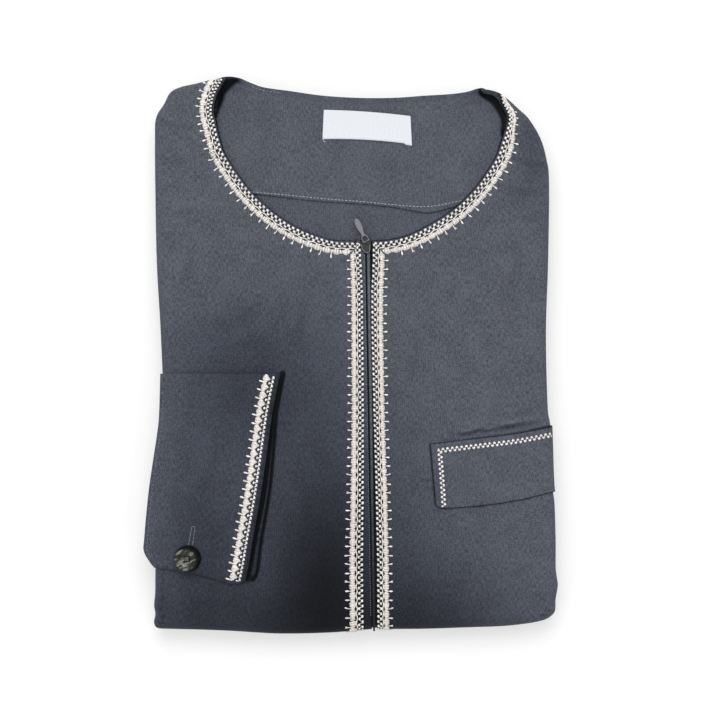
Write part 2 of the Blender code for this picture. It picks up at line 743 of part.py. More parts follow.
def zip_braid(name, side, start, tree, material):
    """Braid along one side of the zip, from under the neck braid round the hem fold."""
    first_y = 69.4
    flat_end = hem_y(zip_x(-192)) + HEM_ROLL
    flat = first_y - flat_end
    arc = 17.0

    def place(s, t):
        offset = start + t if side > 0 else -start - t
        if s <= flat:
            y = first_y - s
            return drop(tree, zip_x(y) + offset, y)
        x = zip_x(flat_end) + offset
        angle = (s - flat) / arc * math.radians(115)
        low = split_height(-190.0) + 0.4
        centre = Vector((x, hem_y(x) + HEM_ROLL, (float(front_height(x, flat_end)) + low) / 2))
        out = Vector((0, -math.sin(angle), math.cos(angle)))
        hit, normal, _, _ = tree.ray_cast(centre + out * 40, -out)
        return hit + out * ROLL_LIFT, normal

    return braid(name, place, flat + arc, PICOT_PITCH, BRAID_WIDTH, 0.0, material)


def cuff_braid(tree, material):
    """Braid along the cuff's hand edge."""
    edge = spline(swapped(CUFF_HAND))
    inwards = -left_normals(edge)
    edge = edge + inwards * CUFF_MARGIN
    run = lengths(edge)
    lead = 2.5

    def place(s, t):
        index = np.interp(s + lead, run, np.arange(len(run)))
        low = min(int(index), len(run) - 2)
        part = index - low
        spot = edge[low] * (1 - part) + edge[low + 1] * part
        way = inwards[low] * (1 - part) + inwards[low + 1] * part
        return drop(tree, *(spot + way * t))

    return braid("cuff_braid", place, run[-1] - 2 * lead, CUFF_PITCH, CUFF_BRAID, 0.0, material)


# ---- sleeve and cuff ----------------------------------------------------------------------

def column_value(rows, y):
    """x at height y of a table of (y, x)."""
    curve = spline(rows)
    order = np.argsort(curve[:, 0])
    return float(np.interp(y, curve[order, 0], curve[order, 1]))


def cuff_bottom(x, y):
    """Lower face of the cuff's upper layer, blown up towards its hand edge."""
    lower = np.interp(x, [row[0] for row in CUFF_LOWER], [row[1] for row in CUFF_LOWER])
    base = float(front_height(max(x, -127.0), y)) + 1.95
    lift = CUFF_LIFT * smooth(-130, -72, x) * smooth(0, 14, CUFF_TOP_Y - y) * smooth(0, 12, y - lower)
    droop = 1.2 * smooth(-127, -145, x)
    return base + float(lift) - float(droop)


def cuff_upper(material):
    """Upper layer of the flattened cuff."""
    sleeve, hand, lower = spline(swapped(CUFF_SLEEVE)), spline(swapped(CUFF_HAND)), spline(CUFF_LOWER)
    rows, columns = 13, 11
    v_rows = np.concatenate([[0, 0.02, 0.05], np.linspace(0.12, 0.9, rows - 5), [0.96, 1.0]])
    u_cols = np.linspace(0, 1, columns)
    left = along(sleeve, v_rows * lengths(sleeve)[-1])
    right = along(hand, v_rows * lengths(hand)[-1])
    low = along(lower, u_cols * lengths(lower)[-1])
    top = np.array([left[0] * (1 - u) + right[0] * u for u in u_cols])
    grid = np.zeros((rows, columns, 3))
    for r, v in enumerate(v_rows):
        for c, u in enumerate(u_cols):
            flat = ((1 - u) * left[r] + u * right[r] + (1 - v) * top[c] + v * low[c]
                    - (1 - u) * (1 - v) * left[0] - u * (1 - v) * right[0]
                    - (1 - u) * v * left[-1] - u * v * right[-1])
            grid[r, c] = (flat[0], flat[1], cuff_bottom(*flat))
    return grid_sheet("cuff_upper", grid, material, CUFF_WALL)


def cuff_under(material):
    """Under layer of the cuff, which shows past the hand edge."""
    rows = []
    for y in np.linspace(CUFF_TOP_Y - 1.5, -157.2, 12):
        right = column_value(CUFF_HAND, y) + column_value(UNDER_SHOWS, y)
        left = SLEEVE_START + 1.0
        line = []
        for u in np.linspace(0, 1, 7):
            x = left + (right - left) * u
            line.append((x, max(y, -149.5 - 8.0 * smooth(-120, -96, x)),
                         float(front_height(x, y)) + GAP + 0.9 * smooth(0.9, 1.0, u)))
        rows.append(line)
    return grid_sheet("cuff_under", np.array(rows), material, UNDER_WALL)


def sleeve_turn(material):
    """The sleeve, coming round the left fold from below to the cuff."""
    grid = []
    for y in np.linspace(SLEEVE_SPAN[0], SLEEVE_SPAN[1], 10):
        fold_x = column_value(LEFT_FOLD, y)
        flat_x = fold_x + SIDE_ROLL
        z = float(front_height(flat_x, y))
        low = split_height(y) + 0.4
        mid, half = (z + low) / 2, (z - low) / 2
        bulge = 3.4 * smooth(-50, -128, y)
        line = [(SLEEVE_START, y, float(front_height(SLEEVE_START, y)) + GAP), (flat_x, y, z + GAP)]
        for angle in np.radians((30, 60, 90)):
            line.append((flat_x - (SIDE_ROLL + GAP + bulge * 0.5 * math.sin(angle)) * math.sin(angle), y,
                         mid + (half + GAP) * math.cos(angle)))
        for height, out, tuck in SLEEVE_DROP:
            line.append((fold_x - GAP - bulge * out + tuck, y, height))
        grid.append(line)
    grid = np.array(grid)
    points = grid.reshape(-1, 3)
    return sheet_object("sleeve_turn", points, oriented(points, grid_faces(*grid.shape[:2])),
                        material, SLEEVE_WALL)


def cuff_button(tree, material):
    """Turned button with a sunk middle and four holes, tilted a little on its thread."""
    radius, thick = BUTTON_RADIUS, BUTTON_THICK
    profile = ((0.0, thick * 0.62), (radius * 0.5, thick * 0.62), (radius * 0.62, thick * 0.72),
               (radius * 0.74, thick * 0.97), (radius * 0.9, thick), (radius, thick * 0.72),
               (radius, thick * 0.3), (radius * 0.86, 0.0), (0.0, 0.0))
    work = bmesh.new()
    verts = [work.verts.new((r * MM, 0, z * MM)) for r, z in profile]
    for a, b in zip(verts, verts[1:]):
        work.edges.new((a, b))
    bmesh.ops.spin(work, geom=work.verts[:] + work.edges[:], cent=(0, 0, 0), axis=(0, 0, 1),
                   angle=math.tau, steps=28, use_merge=True)
    bmesh.ops.remove_doubles(work, verts=work.verts[:], dist=0.00001)
    bmesh.ops.recalc_face_normals(work, faces=work.faces[:])
    mesh = bpy.data.meshes.new("cuff_button")
    work.to_mesh(mesh)
    work.free()
    mesh.materials.append(material)
    mesh.shade_smooth()
    mesh.set_sharp_from_angle(angle=math.radians(35))
    button = bpy.data.objects.new("cuff_button", mesh)
    PARTS.objects.link(button)
    hit, _ = drop(tree, *BUTTON_AT)
    button.location = Vector((BUTTON_AT[0], BUTTON_AT[1], hit.z + CUFF_WALL + 1.15 - 0.35)) * MM
    button.rotation_euler = (-BUTTON_TILT * 0.4, -BUTTON_TILT, 0)
    for k in range(4):
        angle = math.radians(45 + 90 * k)
        bpy.ops.mesh.primitive_cylinder_add(vertices=8, radius=0.85 * MM, depth=3 * thick * MM)
        cutter = bpy.context.object
        cutter.name = f"button_hole_{k + 1}"
        move_to(cutter, CUTTERS)
        cutter.parent = button
        cutter.location = Vector((2.1 * math.cos(angle), 2.1 * math.sin(angle), thick / 2)) * MM
        cutter.hide_render = True
        cutter.display_type = "WIRE"
        cut = button.modifiers.new(f"hole {k + 1}", "BOOLEAN")
        cut.operation = "DIFFERENCE"
        cut.solver = "EXACT"
        cut.object = cutter
    return button


# ---- pocket -------------------------------------------------------------------------------

def pocket(material):
    """Patch pocket: a flat panel with a loose mouth that follows the front round the right fold."""
    mouth, seam = spline(POCKET_MOUTH), spline(POCKET_SEAM)
    grid = []
    for v in np.linspace(0, 1, 7):
        line = []
        for u in np.linspace(0, 1, 9):
            top = along(mouth, u * lengths(mouth)[-1])
            low = along(seam, u * lengths(seam)[-1])
            flat = (1 - v) * top + v * low
            fold_x = column_value(RIGHT_FOLD, flat[1])
            x = min(flat[0], fold_x - SIDE_ROLL)
            if u == 1:
                x = fold_x - SIDE_ROLL
            loose = 0.7 * (1 - smooth(0.0, 0.25, v)) * math.sin(math.pi * min(u * 1.05, 1))
            line.append((x, flat[1], float(front_height(x, flat[1])) + GAP + loose))
        edge_y = line[-1][1]
        fold_x = column_value(RIGHT_FOLD, edge_y)
        z, low_z = line[-1][2] - GAP, split_height(edge_y) + 0.4
        for angle in np.linspace(0, POCKET_ROLL_END, 6)[1:]:
            line.append((fold_x - SIDE_ROLL + (SIDE_ROLL + GAP) * math.sin(angle), edge_y,
                         (z + low_z) / 2 + ((z - low_z) / 2 + GAP) * math.cos(angle)))
        grid.append(line)
    grid = np.array(grid)
    points = grid.reshape(-1, 3)
    return sheet_object("pocket", points, oriented(points, grid_faces(*grid.shape[:2])),
                        material, POCKET_WALL)


# ---- slider and pull ----------------------------------------------------------------------

def move_to(piece, collection):
    """Link an object to this collection alone."""
    for other in list(piece.users_collection):
        other.objects.unlink(piece)
    collection.objects.link(piece)


def flat_outline(name, outlines, thick):
    """A flat plate from closed outlines (millimetres), as a mesh."""
    curve = bpy.data.curves.new(name, "CURVE")
    curve.dimensions = "2D"
    curve.fill_mode = "BOTH"
    curve.extrude = thick * MM / 2
    for outline in outlines:
        line = curve.splines.new("POLY")
        line.points.add(len(outline) - 1)
        for point, (x, y) in zip(line.points, outline):
            point.co = (x * MM, y * MM, 0, 1)
        line.use_cyclic_u = True
    return mesh_from_curve(name, curve)


def mesh_from_curve(name, curve):
    """The curve's evaluated mesh with its caps welded."""
    source = bpy.data.objects.new(name, curve)
    PARTS.objects.link(source)
    depsgraph = bpy.context.evaluated_depsgraph_get()
    mesh = bpy.data.meshes.new_from_object(source.evaluated_get(depsgraph))
    bpy.data.objects.remove(source)
    work = bmesh.new()
    work.from_mesh(mesh)
    bmesh.ops.remove_doubles(work, verts=work.verts[:], dist=0.000001)
    bmesh.ops.recalc_face_normals(work, faces=work.faces[:])
    work.to_mesh(mesh)
    work.free()
    return mesh


def shield_outline():
    """The slider's plate seen from above: square shoulders and a rounded nose."""
    half, long = SLIDER_WIDTH / 2, SLIDER_LENGTH / 2
    points = [(half * 0.62, long), (half * 0.95, long * 0.78), (half, long * 0.2)]
    for k in range(7):
        angle = math.radians(-8 - 82 * k / 6)
        points.append((half * math.cos(angle) ** 0.8, -long * 0.05 + long * 0.95 * math.sin(angle)))
    return points + [(-x, y) for x, y in points[::-1] if x > 0.02]


def zip_slider(deck, material):
    """The slider's plate and the bridge that holds the pull."""
    mesh = flat_outline("zip_slider", [shield_outline()], SLIDER_PLATE)
    slider = bpy.data.objects.new("zip_slider", mesh)
    PARTS.objects.link(slider)
    slider.location = Vector((*SLIDER_AT, deck + SLIDER_PLATE / 2)) * MM
    mesh.materials.append(material)
    bevel = slider.modifiers.new("edge", "BEVEL")
    bevel.width = 0.3 * MM
    bevel.segments = 2
    bevel.angle_limit = math.radians(50)
    arch = bpy.data.curves.new("bridge", "CURVE")
    arch.dimensions = "3D"
    arch.bevel_depth = BRIDGE_WIRE * MM
    arch.bevel_resolution = 2
    arch.use_fill_caps = True
    line = arch.splines.new("POLY")
    steps = 9
    line.points.add(steps - 1)
    top = HINGE_RISE + PULL_THICK / 2 + GAP + BRIDGE_WIRE
    for k, point in enumerate(line.points):
        angle = math.pi * k / (steps - 1)
        rise = top * math.sin(angle) ** 0.6 if 0 < k < steps - 1 else -0.5
        point.co = (0, BRIDGE_SPAN * math.cos(angle) * MM, rise * MM, 1)
    bridge = bpy.data.objects.new("bridge", mesh_from_curve("bridge", arch))
    CUTTERS.objects.link(bridge)
    bridge.location = Vector((*HINGE_AT, deck + SLIDER_PLATE)) * MM
    bridge.hide_render = True
    bridge.display_type = "WIRE"
    join = slider.modifiers.new("bridge", "BOOLEAN")
    join.operation = "UNION"
    join.solver = "EXACT"
    join.object = bridge
    return slider


def leaf_outline():
    """The pull seen from above, from its cross bar at the origin up to its rounded tip."""
    side = [(2.35, -0.5), (2.5, 0.6), (2.5, 3.0), (1.9, 4.2), (1.15, 5.4), (1.3, 7.0), (1.9, 9.5),
            (2.2, 12.0), (2.1, 14.4), (1.75, 16.2), (1.1, 17.4), (0.4, 17.9)]
    return side + [(-x, y) for x, y in side[::-1]]


def zip_pull(deck, material):
    """The pull tab: a leaf with an eye, whose cross bar turns under the slider's bridge."""
    eye = [(1.6, 0.5), (1.6, 3.1), (1.0, 3.9), (-1.0, 3.9), (-1.6, 3.1), (-1.6, 0.5)]
    mesh = flat_outline("zip_pull", [leaf_outline(), eye], PULL_THICK)
    mesh.materials.append(material)
    pull = bpy.data.objects.new("zip_pull", mesh)
    PARTS.objects.link(pull)
    bevel = pull.modifiers.new("edge", "BEVEL")
    bevel.width = 0.22 * MM
    bevel.segments = 2
    bevel.angle_limit = math.radians(50)
    pull.location = Vector((*HINGE_AT, deck + SLIDER_PLATE + HINGE_RISE)) * MM
    pull.rotation_euler = (Matrix.Rotation(PULL_LEAN, 4, "Z")
                           @ Matrix.Rotation(-PULL_DROOP, 4, "X")).to_euler()
    return pull


# ---- the whole garment --------------------------------------------------------------------

def build():
    cloth = finish("charcoal cloth", (88, 91, 100), 0.9)
    inside = finish("charcoal cloth, inside", (84, 87, 95), 0.92)
    thread = finish("ecru thread", (222, 216, 206), 0.62)
    woven = finish("white woven label", (236, 240, 244), 0.8)
    horn = finish("marbled button", (62, 63, 60), 0.3)
    enamel = finish("grey enamelled metal", (128, 125, 136), 0.35, 0.4)
    dark = finish("dark zip", (48, 50, 56), 0.7)

    folded_layers(cloth)
    left = front_panel("front_left", -1, cloth)
    right = front_panel("front_right", 1, cloth)
    left_tree, right_tree = surface_of(left), surface_of(right)
    _, facing = back_panels(inside, inside)
    neck_label(surface_of(facing), woven)
    zip_strip("zip_tape", -TAPE_HALF, TAPE_HALF + 3, FRONT_WALL + GAP, TAPE_WALL, 78.0, 7,
              math.radians(140), dark)
    zip_strip("zip_coil", COIL_LEFT, COIL_RIGHT, 0.25, FRONT_WALL - 0.3, 79.0, 2,
              math.radians(140), dark)
    neck_braid("neck_braid_left", -1, left_tree, thread)
    neck_braid("neck_braid_right", 1, right_tree, thread)
    zip_braid("zip_braid_left", -1, 3.1, left_tree, thread)
    zip_braid("zip_braid_right", 1, 4.3, right_tree, thread)
    sleeve_turn(cloth)
    cuff_under(cloth)
    cuff_tree = surface_of(cuff_upper(cloth))
    cuff_braid_piece(cuff_tree, thread)
    cuff_button(cuff_tree, horn)
    pocket(cloth)
    deck = float(front_height(SLIDER_AT[0], 76.7)) + GAP
    zip_slider(deck, enamel)
    zip_pull(deck, enamel)


def cuff_braid_piece(tree, material):
    """The cuff's braid lies on the cuff's outer face, one wall above its lower one."""
    piece = cuff_braid(tree, material)
    piece.location.z += CUFF_WALL * MM
    return piece


for old in list(bpy.data.objects):
    bpy.data.objects.remove(old)
PARTS = bpy.data.collections.new("folded thobe")
CUTTERS = bpy.data.collections.new("cutters")
bpy.context.scene.collection.children.link(PARTS)
bpy.context.scene.collection.children.link(CUTTERS)
build()
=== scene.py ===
"""Folded thobe: cloth, embroidery, zip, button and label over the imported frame.

Lengths in the tables are in millimetres, in the frame's own axes: +Y from the hem fold to the
neck, +Z up from the surface the packet lies on. MM turns them into metres.
"""
import math

import bmesh
import bpy
import numpy as np
from bpy.props import FloatProperty, FloatVectorProperty, PointerProperty
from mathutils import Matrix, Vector
from mathutils.bvhtree import BVHTree


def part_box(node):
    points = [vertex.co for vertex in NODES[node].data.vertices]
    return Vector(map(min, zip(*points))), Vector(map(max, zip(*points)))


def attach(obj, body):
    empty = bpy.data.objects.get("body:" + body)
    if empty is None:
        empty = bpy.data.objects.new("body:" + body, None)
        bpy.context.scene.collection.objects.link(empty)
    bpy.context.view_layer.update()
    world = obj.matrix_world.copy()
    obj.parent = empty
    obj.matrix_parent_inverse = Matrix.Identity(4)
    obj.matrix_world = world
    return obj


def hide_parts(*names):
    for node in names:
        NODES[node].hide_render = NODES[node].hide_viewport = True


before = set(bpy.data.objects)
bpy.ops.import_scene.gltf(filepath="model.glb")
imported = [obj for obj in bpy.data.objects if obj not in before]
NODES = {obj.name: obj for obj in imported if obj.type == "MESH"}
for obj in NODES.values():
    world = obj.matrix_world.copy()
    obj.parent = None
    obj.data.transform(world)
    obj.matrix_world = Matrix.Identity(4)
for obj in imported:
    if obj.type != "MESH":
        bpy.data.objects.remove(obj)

bl_info = {
    "name": "Folded thobe",
    "version": (1, 0, 0),
    "blender": (4, 5, 0),
    "location": "3D View > Sidebar > Thobe",
    "description": "Dresses the packed frame of a folded thobe in cloth, embroidery and trims",
    "category": "Add Mesh",
}

MM = 0.001
UP = np.array([0.0, 0.0, 1.0])
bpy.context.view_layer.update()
# The fronts by their side as seen: below zero on the left
FRONT_NAMES = {-1: "front_left", 1: "front_right"}

# ---- sizes of the folded garment ----

FRONT_WALL = 1.3
BACK_WALL = 1.0
CUFF_WALL = 1.4
UNDER_WALL = 1.0
SLEEVE_WALL = 1.2
POCKET_WALL = 1.1
LABEL_WALL = 0.5
GAP = 0.35
FRONT_TOP = 26.2
BACK_TOP = 25.8
SIDE_ROLL = 5.0
HEM_ROLL = 8.0
NECK_ROLL = 1.8
ROLL_RINGS = 16
ROLL_END = math.radians(160)
SPLIT_SIDE = 16.6
SPLIT_HEM = 8.3
SPLIT_TOP = 14.4
# The fronts are thicker over their facings: rise, extra rise where both meet, reach from and to
FACING_RISE = 1.4
CORNER_RISE = 1.2
ZIP_FACING = (11.0, 26.0)
NECK_FACING = (12.0, 28.0)
# The neck's edge curls up at the shoulders: rise, reach, and where it sets in along y
CURL_RISE = 2.0
CURL_REACH = 9.0
CURL_SPAN = (150.0, 182.0)
# The back: how far it sinks to its rim, the rim's roll and its lift beside the shoulders
BACK_SINKS = 5.6
RIM_ROLL = 1.8
RIM_LIFT = 7.0
HOLLOW_DEPTH = 2.4
# Height in y of the corner between the neck's edge and the zip
NECK_FOOT_Y = 79.8

ZIP_TOP_Y = 73.5
ZIP_TOP_X = 11.06
ZIP_LEAN = 0.01716
# Where the zip meets the hem fold, and where the height of that fold's foot is taken
ZIP_END_Y = -192.0
HEM_FOOT_Y = -190.0
LIP_LEFT = -0.6
LIP_MARGIN = 0.25
COIL_LEFT = 0.35
COIL_RIGHT = 2.45
COIL_PITCH = 1.7
COIL_NARROWS = 0.75
COIL_DEPTH = 0.9
COIL_TOP_Y = 79.0
COIL_ROWS = 4 * int(262 / COIL_PITCH)
COIL_CROWN = 0.45
COIL_RIBS = 0.14
TAPE_HALF = 10.0
TAPE_TOP_Y = 78.0
ZIP_WALL = 0.6
# Share of its depth by which the coil comes up on the hem fold, and the tape goes down
COIL_LIFT = 0.7
TAPE_LIFT = -0.4
ZIP_ARC = math.radians(140)
# The pale rod round the slider's nose, painted as a highlight where its rim catches the light: points
# (x, y), and how far it stands above the slider's foot
SLIDER_RIM_HIGHLIGHT = ((7.6, 77.0), (8.6, 73.6), (10.4, 71.8), (12.2, 71.6), (13.4, 73.0), (13.5, 76.6))
SLIDER_HIGHLIGHT_RISE = 1.5
SLIDER_HIGHLIGHT_THICK = 0.55

# Side folds of the front (y, x)
LEFT_FOLD = (
    (184, -126.6), (176, -130.9), (166, -136.6), (150, -137.2), (121, -137),
    (65, -135.9), (15, -133.1), (-42, -131.2), (-94, -133.2), (-143, -136.6),
    (-166, -137.2), (-175.5, -138), (-182, -137.1), (-186.8, -138.1), (-190, -137.5),
)
RIGHT_FOLD = (
    (172, 118.4), (165.4, 125.2), (152, 133.2), (138, 137.3), (121, 139.3),
    (65, 138.6), (15, 137.1), (-36, 138.3), (-50, 140.1), (-90, 141.5), (-104, 143.1),
    (-129, 143.9), (-148, 144), (-155.5, 144.8), (-161, 145.6), (-166.5, 144.9),
    (-172, 144), (-176.5, 144), (-180.8, 143.2),
)
# Shoulder folds (x, y), from the neck outwards
LEFT_SHOULDER = ((-87.6, 194.4), (-96, 193.1), (-109, 190.2), (-119.6, 187.9))
RIGHT_SHOULDER = ((91.5, 186.4), (98, 185.6), (104.7, 183.4), (111.6, 178.2))
# Hem fold (x, y)
HEM_FOLD = (
    (-135.2, -191.9), (-129, -192.3), (-107, -192.9), (-84, -193.8), (-50, -195.7),
    (-14, -195), (14, -193.8), (50, -192.4), (84, -191.3), (106, -190.5), (121, -189),
    (132, -187.2), (138.5, -185),
)
# Neck edge of the front (x, y), from the shoulder down to the zip
LEFT_NECK = (
    (-88.9, 193), (-91.6, 188.2), (-95, 181.4), (-97, 171), (-95.2, 162.5), (-91.8, 149),
    (-87.4, 138), (-69.8, 113.4), (-44.2, 92.1), (-14.8, 79.9), (9.6, 78.6),
)
RIGHT_NECK = (
    (91.6, 184.4), (98.2, 183.2), (103.4, 180.6), (105.6, 176.6), (108.1, 172.4), (110.6, 167),
    (110.2, 162), (108.6, 156), (106.6, 149.5), (102.6, 138), (96, 127.2), (87.9, 116.2),
    (79.2, 107), (69.2, 98.7), (56.4, 90.6), (41.7, 83.3), (28, 79.6), (14.8, 78.6),
)
NECKS = {-1: LEFT_NECK, 1: RIGHT_NECK}
# Rolled edge of the back at the neck, and the facing's lower seam (x, y)
BACK_RIM = (
    (-101, 178), (-97, 188), (-92, 193.4), (-87, 194.8), (-82, 194.7), (-77, 193.6),
    (-70, 190.7), (-60, 187.7), (-42, 185.2), (-20, 182.1), (5, 180.5), (30, 180.5),
    (52, 182), (70, 183.1), (82, 184.4), (88, 186.2), (92.5, 186.8), (97, 184.2),
    (104, 177.6), (109, 168.6), (114, 158),
)
FACING_LINE = (
    (-101, 113.5), (-69, 112.7), (-49.4, 110.7), (-31.9, 108.7), (-17.2, 107.3), (2.5, 106.1),
    (20.7, 104.5), (31.9, 103.1), (42.4, 101.2), (50, 99.8), (54.4, 99.5), (59, 100.2),
    (66.2, 101.9), (76.7, 105), (90, 108.6), (114, 113),
)
FACING_SEAM = (
    (-71, 114.2), (-49.4, 112.4), (-14.4, 109), (2.7, 107.8), (20.7, 106.1), (42.4, 104.1),
    (55.7, 104), (68.3, 106), (80, 108.6),
)
# Broad swells and dips of the front: x, y, length, width, turn in degrees, height
SWELLS = (
    (-30, -160, 46, 26, 84, -0.8),
    (-72, -110, 80, 42, 12, 0.8),
    (82, -135, 60, 34, -8, 0.9),
    (88, 20, 60, 36, 70, 0.6),
    (-96, 70, 60, 24, 80, 0.6),
    (-84, 30, 30, 13, 20, -0.8),
    (122, 128, 22, 9, -14, -0.7),
    (-120, 158, 20, 9, -8, -0.7),
)
# Creases of the front: x, y, length, width, turn in degrees, depth (a ridge is below zero)
CREASES = (
    (-122, 160, 15, 2.6, -18, 0.55),
    (-116, 151, 13, 2.2, -30, 0.4),
    (-123, 136, 14, 2.4, -4, 0.45),
    (-121, 99, 16, 2.2, 3, 0.4),
    (-128, 118, 9, 1.8, 10, 0.3),
    (-112, 64, 22, 3, 78, 0.35),
    (-86, 22, 24, 4.5, 14, 0.55),
    (-68, 10, 20, 3.6, 20, 0.45),
    (-34, 26, 16, 3, 88, 0.5),
    (-100, 12, 18, 3, 6, 0.4),
    (124, 134, 18, 2.6, -16, 0.55),
    (118, 114, 20, 2.8, -8, 0.45),
    (128, 96, 12, 2.2, 6, 0.3),
    (116, 60, 24, 3.2, 82, 0.3),
    (84.1, -54.9, 9, 1.3, 12, 1.6),
    (98, -53.2, 11, 1.1, 6, 1),
    (111.6, -50.6, 10, 1.6, 9, 1.6),
    (126, -48.6, 10, 1.6, 11, 0.8),
    (121, -41, 14, 2, 14, 0.5),
    (70, -59, 8, 1.8, 12, 0.35),
    (44, -86, 20, 3, 86, 0.3),
    (96, -128, 26, 3.4, 8, 0.35),
    (118, -152, 20, 3, 22, 0.4),
    (58, -160, 24, 3.2, -12, 0.3),
    (-30, -120, 30, 3.2, 84, 0.35),
    (-44, -172, 22, 3, 10, 0.3),
    (-96, -174, 20, 2.8, -8, 0.35),
    (60, 34, 26, 3.6, 28, 0.3),
    (44, -10, 24, 3.4, 76, 0.3),
)

# Cuff: hand edge and sleeve edge (y, x), lower edge (x, y)
CUFF_TOP_Y = -13.0
CUFF_HAND = (
    (-13, -49), (-39.2, -54.2), (-56.7, -56.8), (-93.8, -62), (-128.1, -68),
    (-146.3, -71), (-159.6, -73.8),
)
CUFF_SLEEVE = (
    (-13, -133), (-42, -133.9), (-56.7, -135.5), (-93.8, -141), (-128, -144.3),
    (-137, -144.6), (-144, -141), (-149, -137.2),
)
CUFF_LOWER = ((-137.2, -149), (-120.8, -151.4), (-104, -154.8), (-84, -160.4), (-73.8, -159.6))
CUFF_LIFT = 2.9
# How far the lower layer shows beyond the hand edge, and how wide its lit rim is (y, mm)
UNDER_SHOWS = ((-13, 1.5), (-38, 1.7), (-57, 2.9), (-94, 4.7), (-129, 5), (-146, 5.6),
               (-152, 5.8), (-155.5, 5.2), (-158, 3.6))
UNDER_RIM = ((-13, 0.1), (-38, 0.1), (-57, 0.4), (-101, 1.2), (-129, 2), (-151, 3),
             (-158, 2.4))
UNDER_CLOSES = (-152.5, -154.8)
CUFF_MARGIN = 3.1
# Where the cuff's trim begins, and how much shorter than the edge it is
CUFF_LEAD = 2.5
CUFF_SHORT = 2.8
UNDER_TOP = -14.5
UNDER_FOOT = -158.0
SLEEVE_SPAN = (-20, -145)
SLEEVE_START = -119.5
SLEEVE_BULGE = 3.4
# The sleeve down the packet's side: height, share of the bulge, tuck inwards
SLEEVE_DROP = ((15, 0.6, -0.3), (9.5, 0.8, -0.3), (4.5, 0.5, -0.2), (1.6, 0.1, 0.9))

# The buttonhole's two rows and its upper bar (x, y)
BUTTONHOLE = (((-110.9, -120.4), (-113.2, -133.4)), ((-108.6, -119.9), (-110.4, -133.4)))
BUTTONHOLE_BAR = ((-111, -119.9), (-108.3, -119.4))
# The painted shadow round the button on the cuff: shift of its centre (x, y), radius and width
BUTTON_SHADOW_SHIFT = (0.7, 0.4)
BUTTON_SHADOW_RING = (8.8, 1.2)

# Patch pocket: mouth, lower seam (x, y)
POCKET_MOUTH = ((55.8, -62.3), (88.3, -58.3), (112.4, -55.4), (130.6, -52.3), (140.8, -50))
POCKET_SEAM = ((59.6, -105.6), (66, -107.4), (88.3, -105.8), (106.4, -103.6), (124.5, -100.2),
               (142.6, -95.4))
POCKET_ROLL_END = math.radians(120)
POCKET_WIDTH = 82
POCKET_HEIGHT = 44
# How far the pocket's mouth stands off the front in its middle
MOUTH_LOOSE = 0.7
# Points along and down the pocket, close together near its edges
POCKET_COLUMNS = (0, 0.04, 0.12, 0.23, 0.34, 0.45, 0.56, 0.67, 0.78, 0.89, 1)
POCKET_ROWS = (0, 0.03, 0.12, 0.25, 0.4, 0.55, 0.7, 0.85, 0.97, 1)
MOUTH_SLOPE = 0.2
# Each stroke of the pocket's zigzag is two short stitches, as shares of its length
ZIGZAG_HALVES = ((-0.05, 0.46), (0.54, 1.05))
# The zigzag: its start in x, and how far in from the mouth and from the left edge
ZIGZAG_START = 61.0
ZIGZAG_MOUTH = (4, 7.1)
ZIGZAG_LEFT = (4.7, 7.8)

# Neck label corners (x, y): upper left, upper right, lower right, lower left
LABEL_CORNERS = ((-18.8, 171.9), (42.1, 167.5), (43.1, 147.5), (-19.7, 151.2))

# Embroidered trims beside the zip: y, distance from the zip's line and width, left and right
ZIP_TRIMS = (
    (80, 4.1, 0.84, 4.6, 0.95), (68.6, 3.8, 0.87, 4.6, 0.95), (56, 3.2, 0.92, 3.9, 0.96),
    (45.5, 2.9, 0.95, 3.1, 0.97), (17.5, 3, 0.97, 2.75, 0.94), (-38.5, 3.5, 1, 3.2, 0.9),
    (-91, 4.4, 1.07, 3.7, 0.92), (-143.5, 5.9, 1.12, 3.9, 0.94), (-195, 6.3, 1.13, 3.3, 0.94),
)
ZIP_TRIM_TOP = 78.6
# The shaded bed of the trims: its middle and half width from the trim's edge, light lost
BED_MIDDLE = 2.9
BED_HALF = 2.7
TRIM_BED = 0.55
# The turned lip at the shoulders: how wide it is beside the neck's edge, and light lost
LIP_REACH = {-1: 2.6, 1: 3.0}
LIP_SHADE = 0.6
# Inner edge of the neck's trim at the right shoulder, where a plain lip shows inside it
RIGHT_TRIM = (
    (105, 184), (105.6, 180.6), (106.6, 176), (109.2, 171.4), (111, 166.6),
    (110.6, 161.6), (109, 156), (106.7, 149),
)
NECK_TRIM_TOP = {-1: 193.6, 1: 182.5}

# Broad patches of painted shade on the cloth, darkest towards the hem's left side: x, y, reach across,
# reach along, share of light lost
PAINTED_SHADE_PATCHES = (
    (-17.2, -165.5, 58.4, 117.5, 0.91),
    (-105.3, -137, 34.4, 78.7, 0.52),
    (58, -202.1, 45.5, 61, 0.59),
    (-55.1, -186.6, 156.3, 24.6, 0.48),
    (-69.6, -16.1, 52.8, 51.1, 0.51),
    (128.1, 141.8, 12, 47.3, 0.26),
)
# Deep hollows between the back and the front's edge, as chains of rounds: x, y, radius
HOLLOWS = (
    ((-79.5, 192, 1.4), (-82, 191.8, 2.1), (-85.4, 190.2, 3.2), (-88.4, 187.4, 2.9),
     (-90.7, 183.6, 2.6), (-91.4, 180, 2.4), (-92.3, 176.4, 1.9), (-93.4, 172.4, 1.3),
     (-94.9, 167, 0.9)),
    ((91.8, 182.6, 1.3), (95.6, 181, 2.1), (99.8, 178.8, 2.5), (103.2, 174.8, 2.5),
     (105.4, 170.8, 2.1), (107.2, 165.8, 1.6), (107.4, 160.2, 1.2), (106.4, 154.4, 0.9)),
)

# The packet's outline between the shoulders (x, y)
BEHIND_NECK = ((-70, 189), (-52, 184.5), (-22, 180), (8, 178.2), (42, 179), (70, 182))
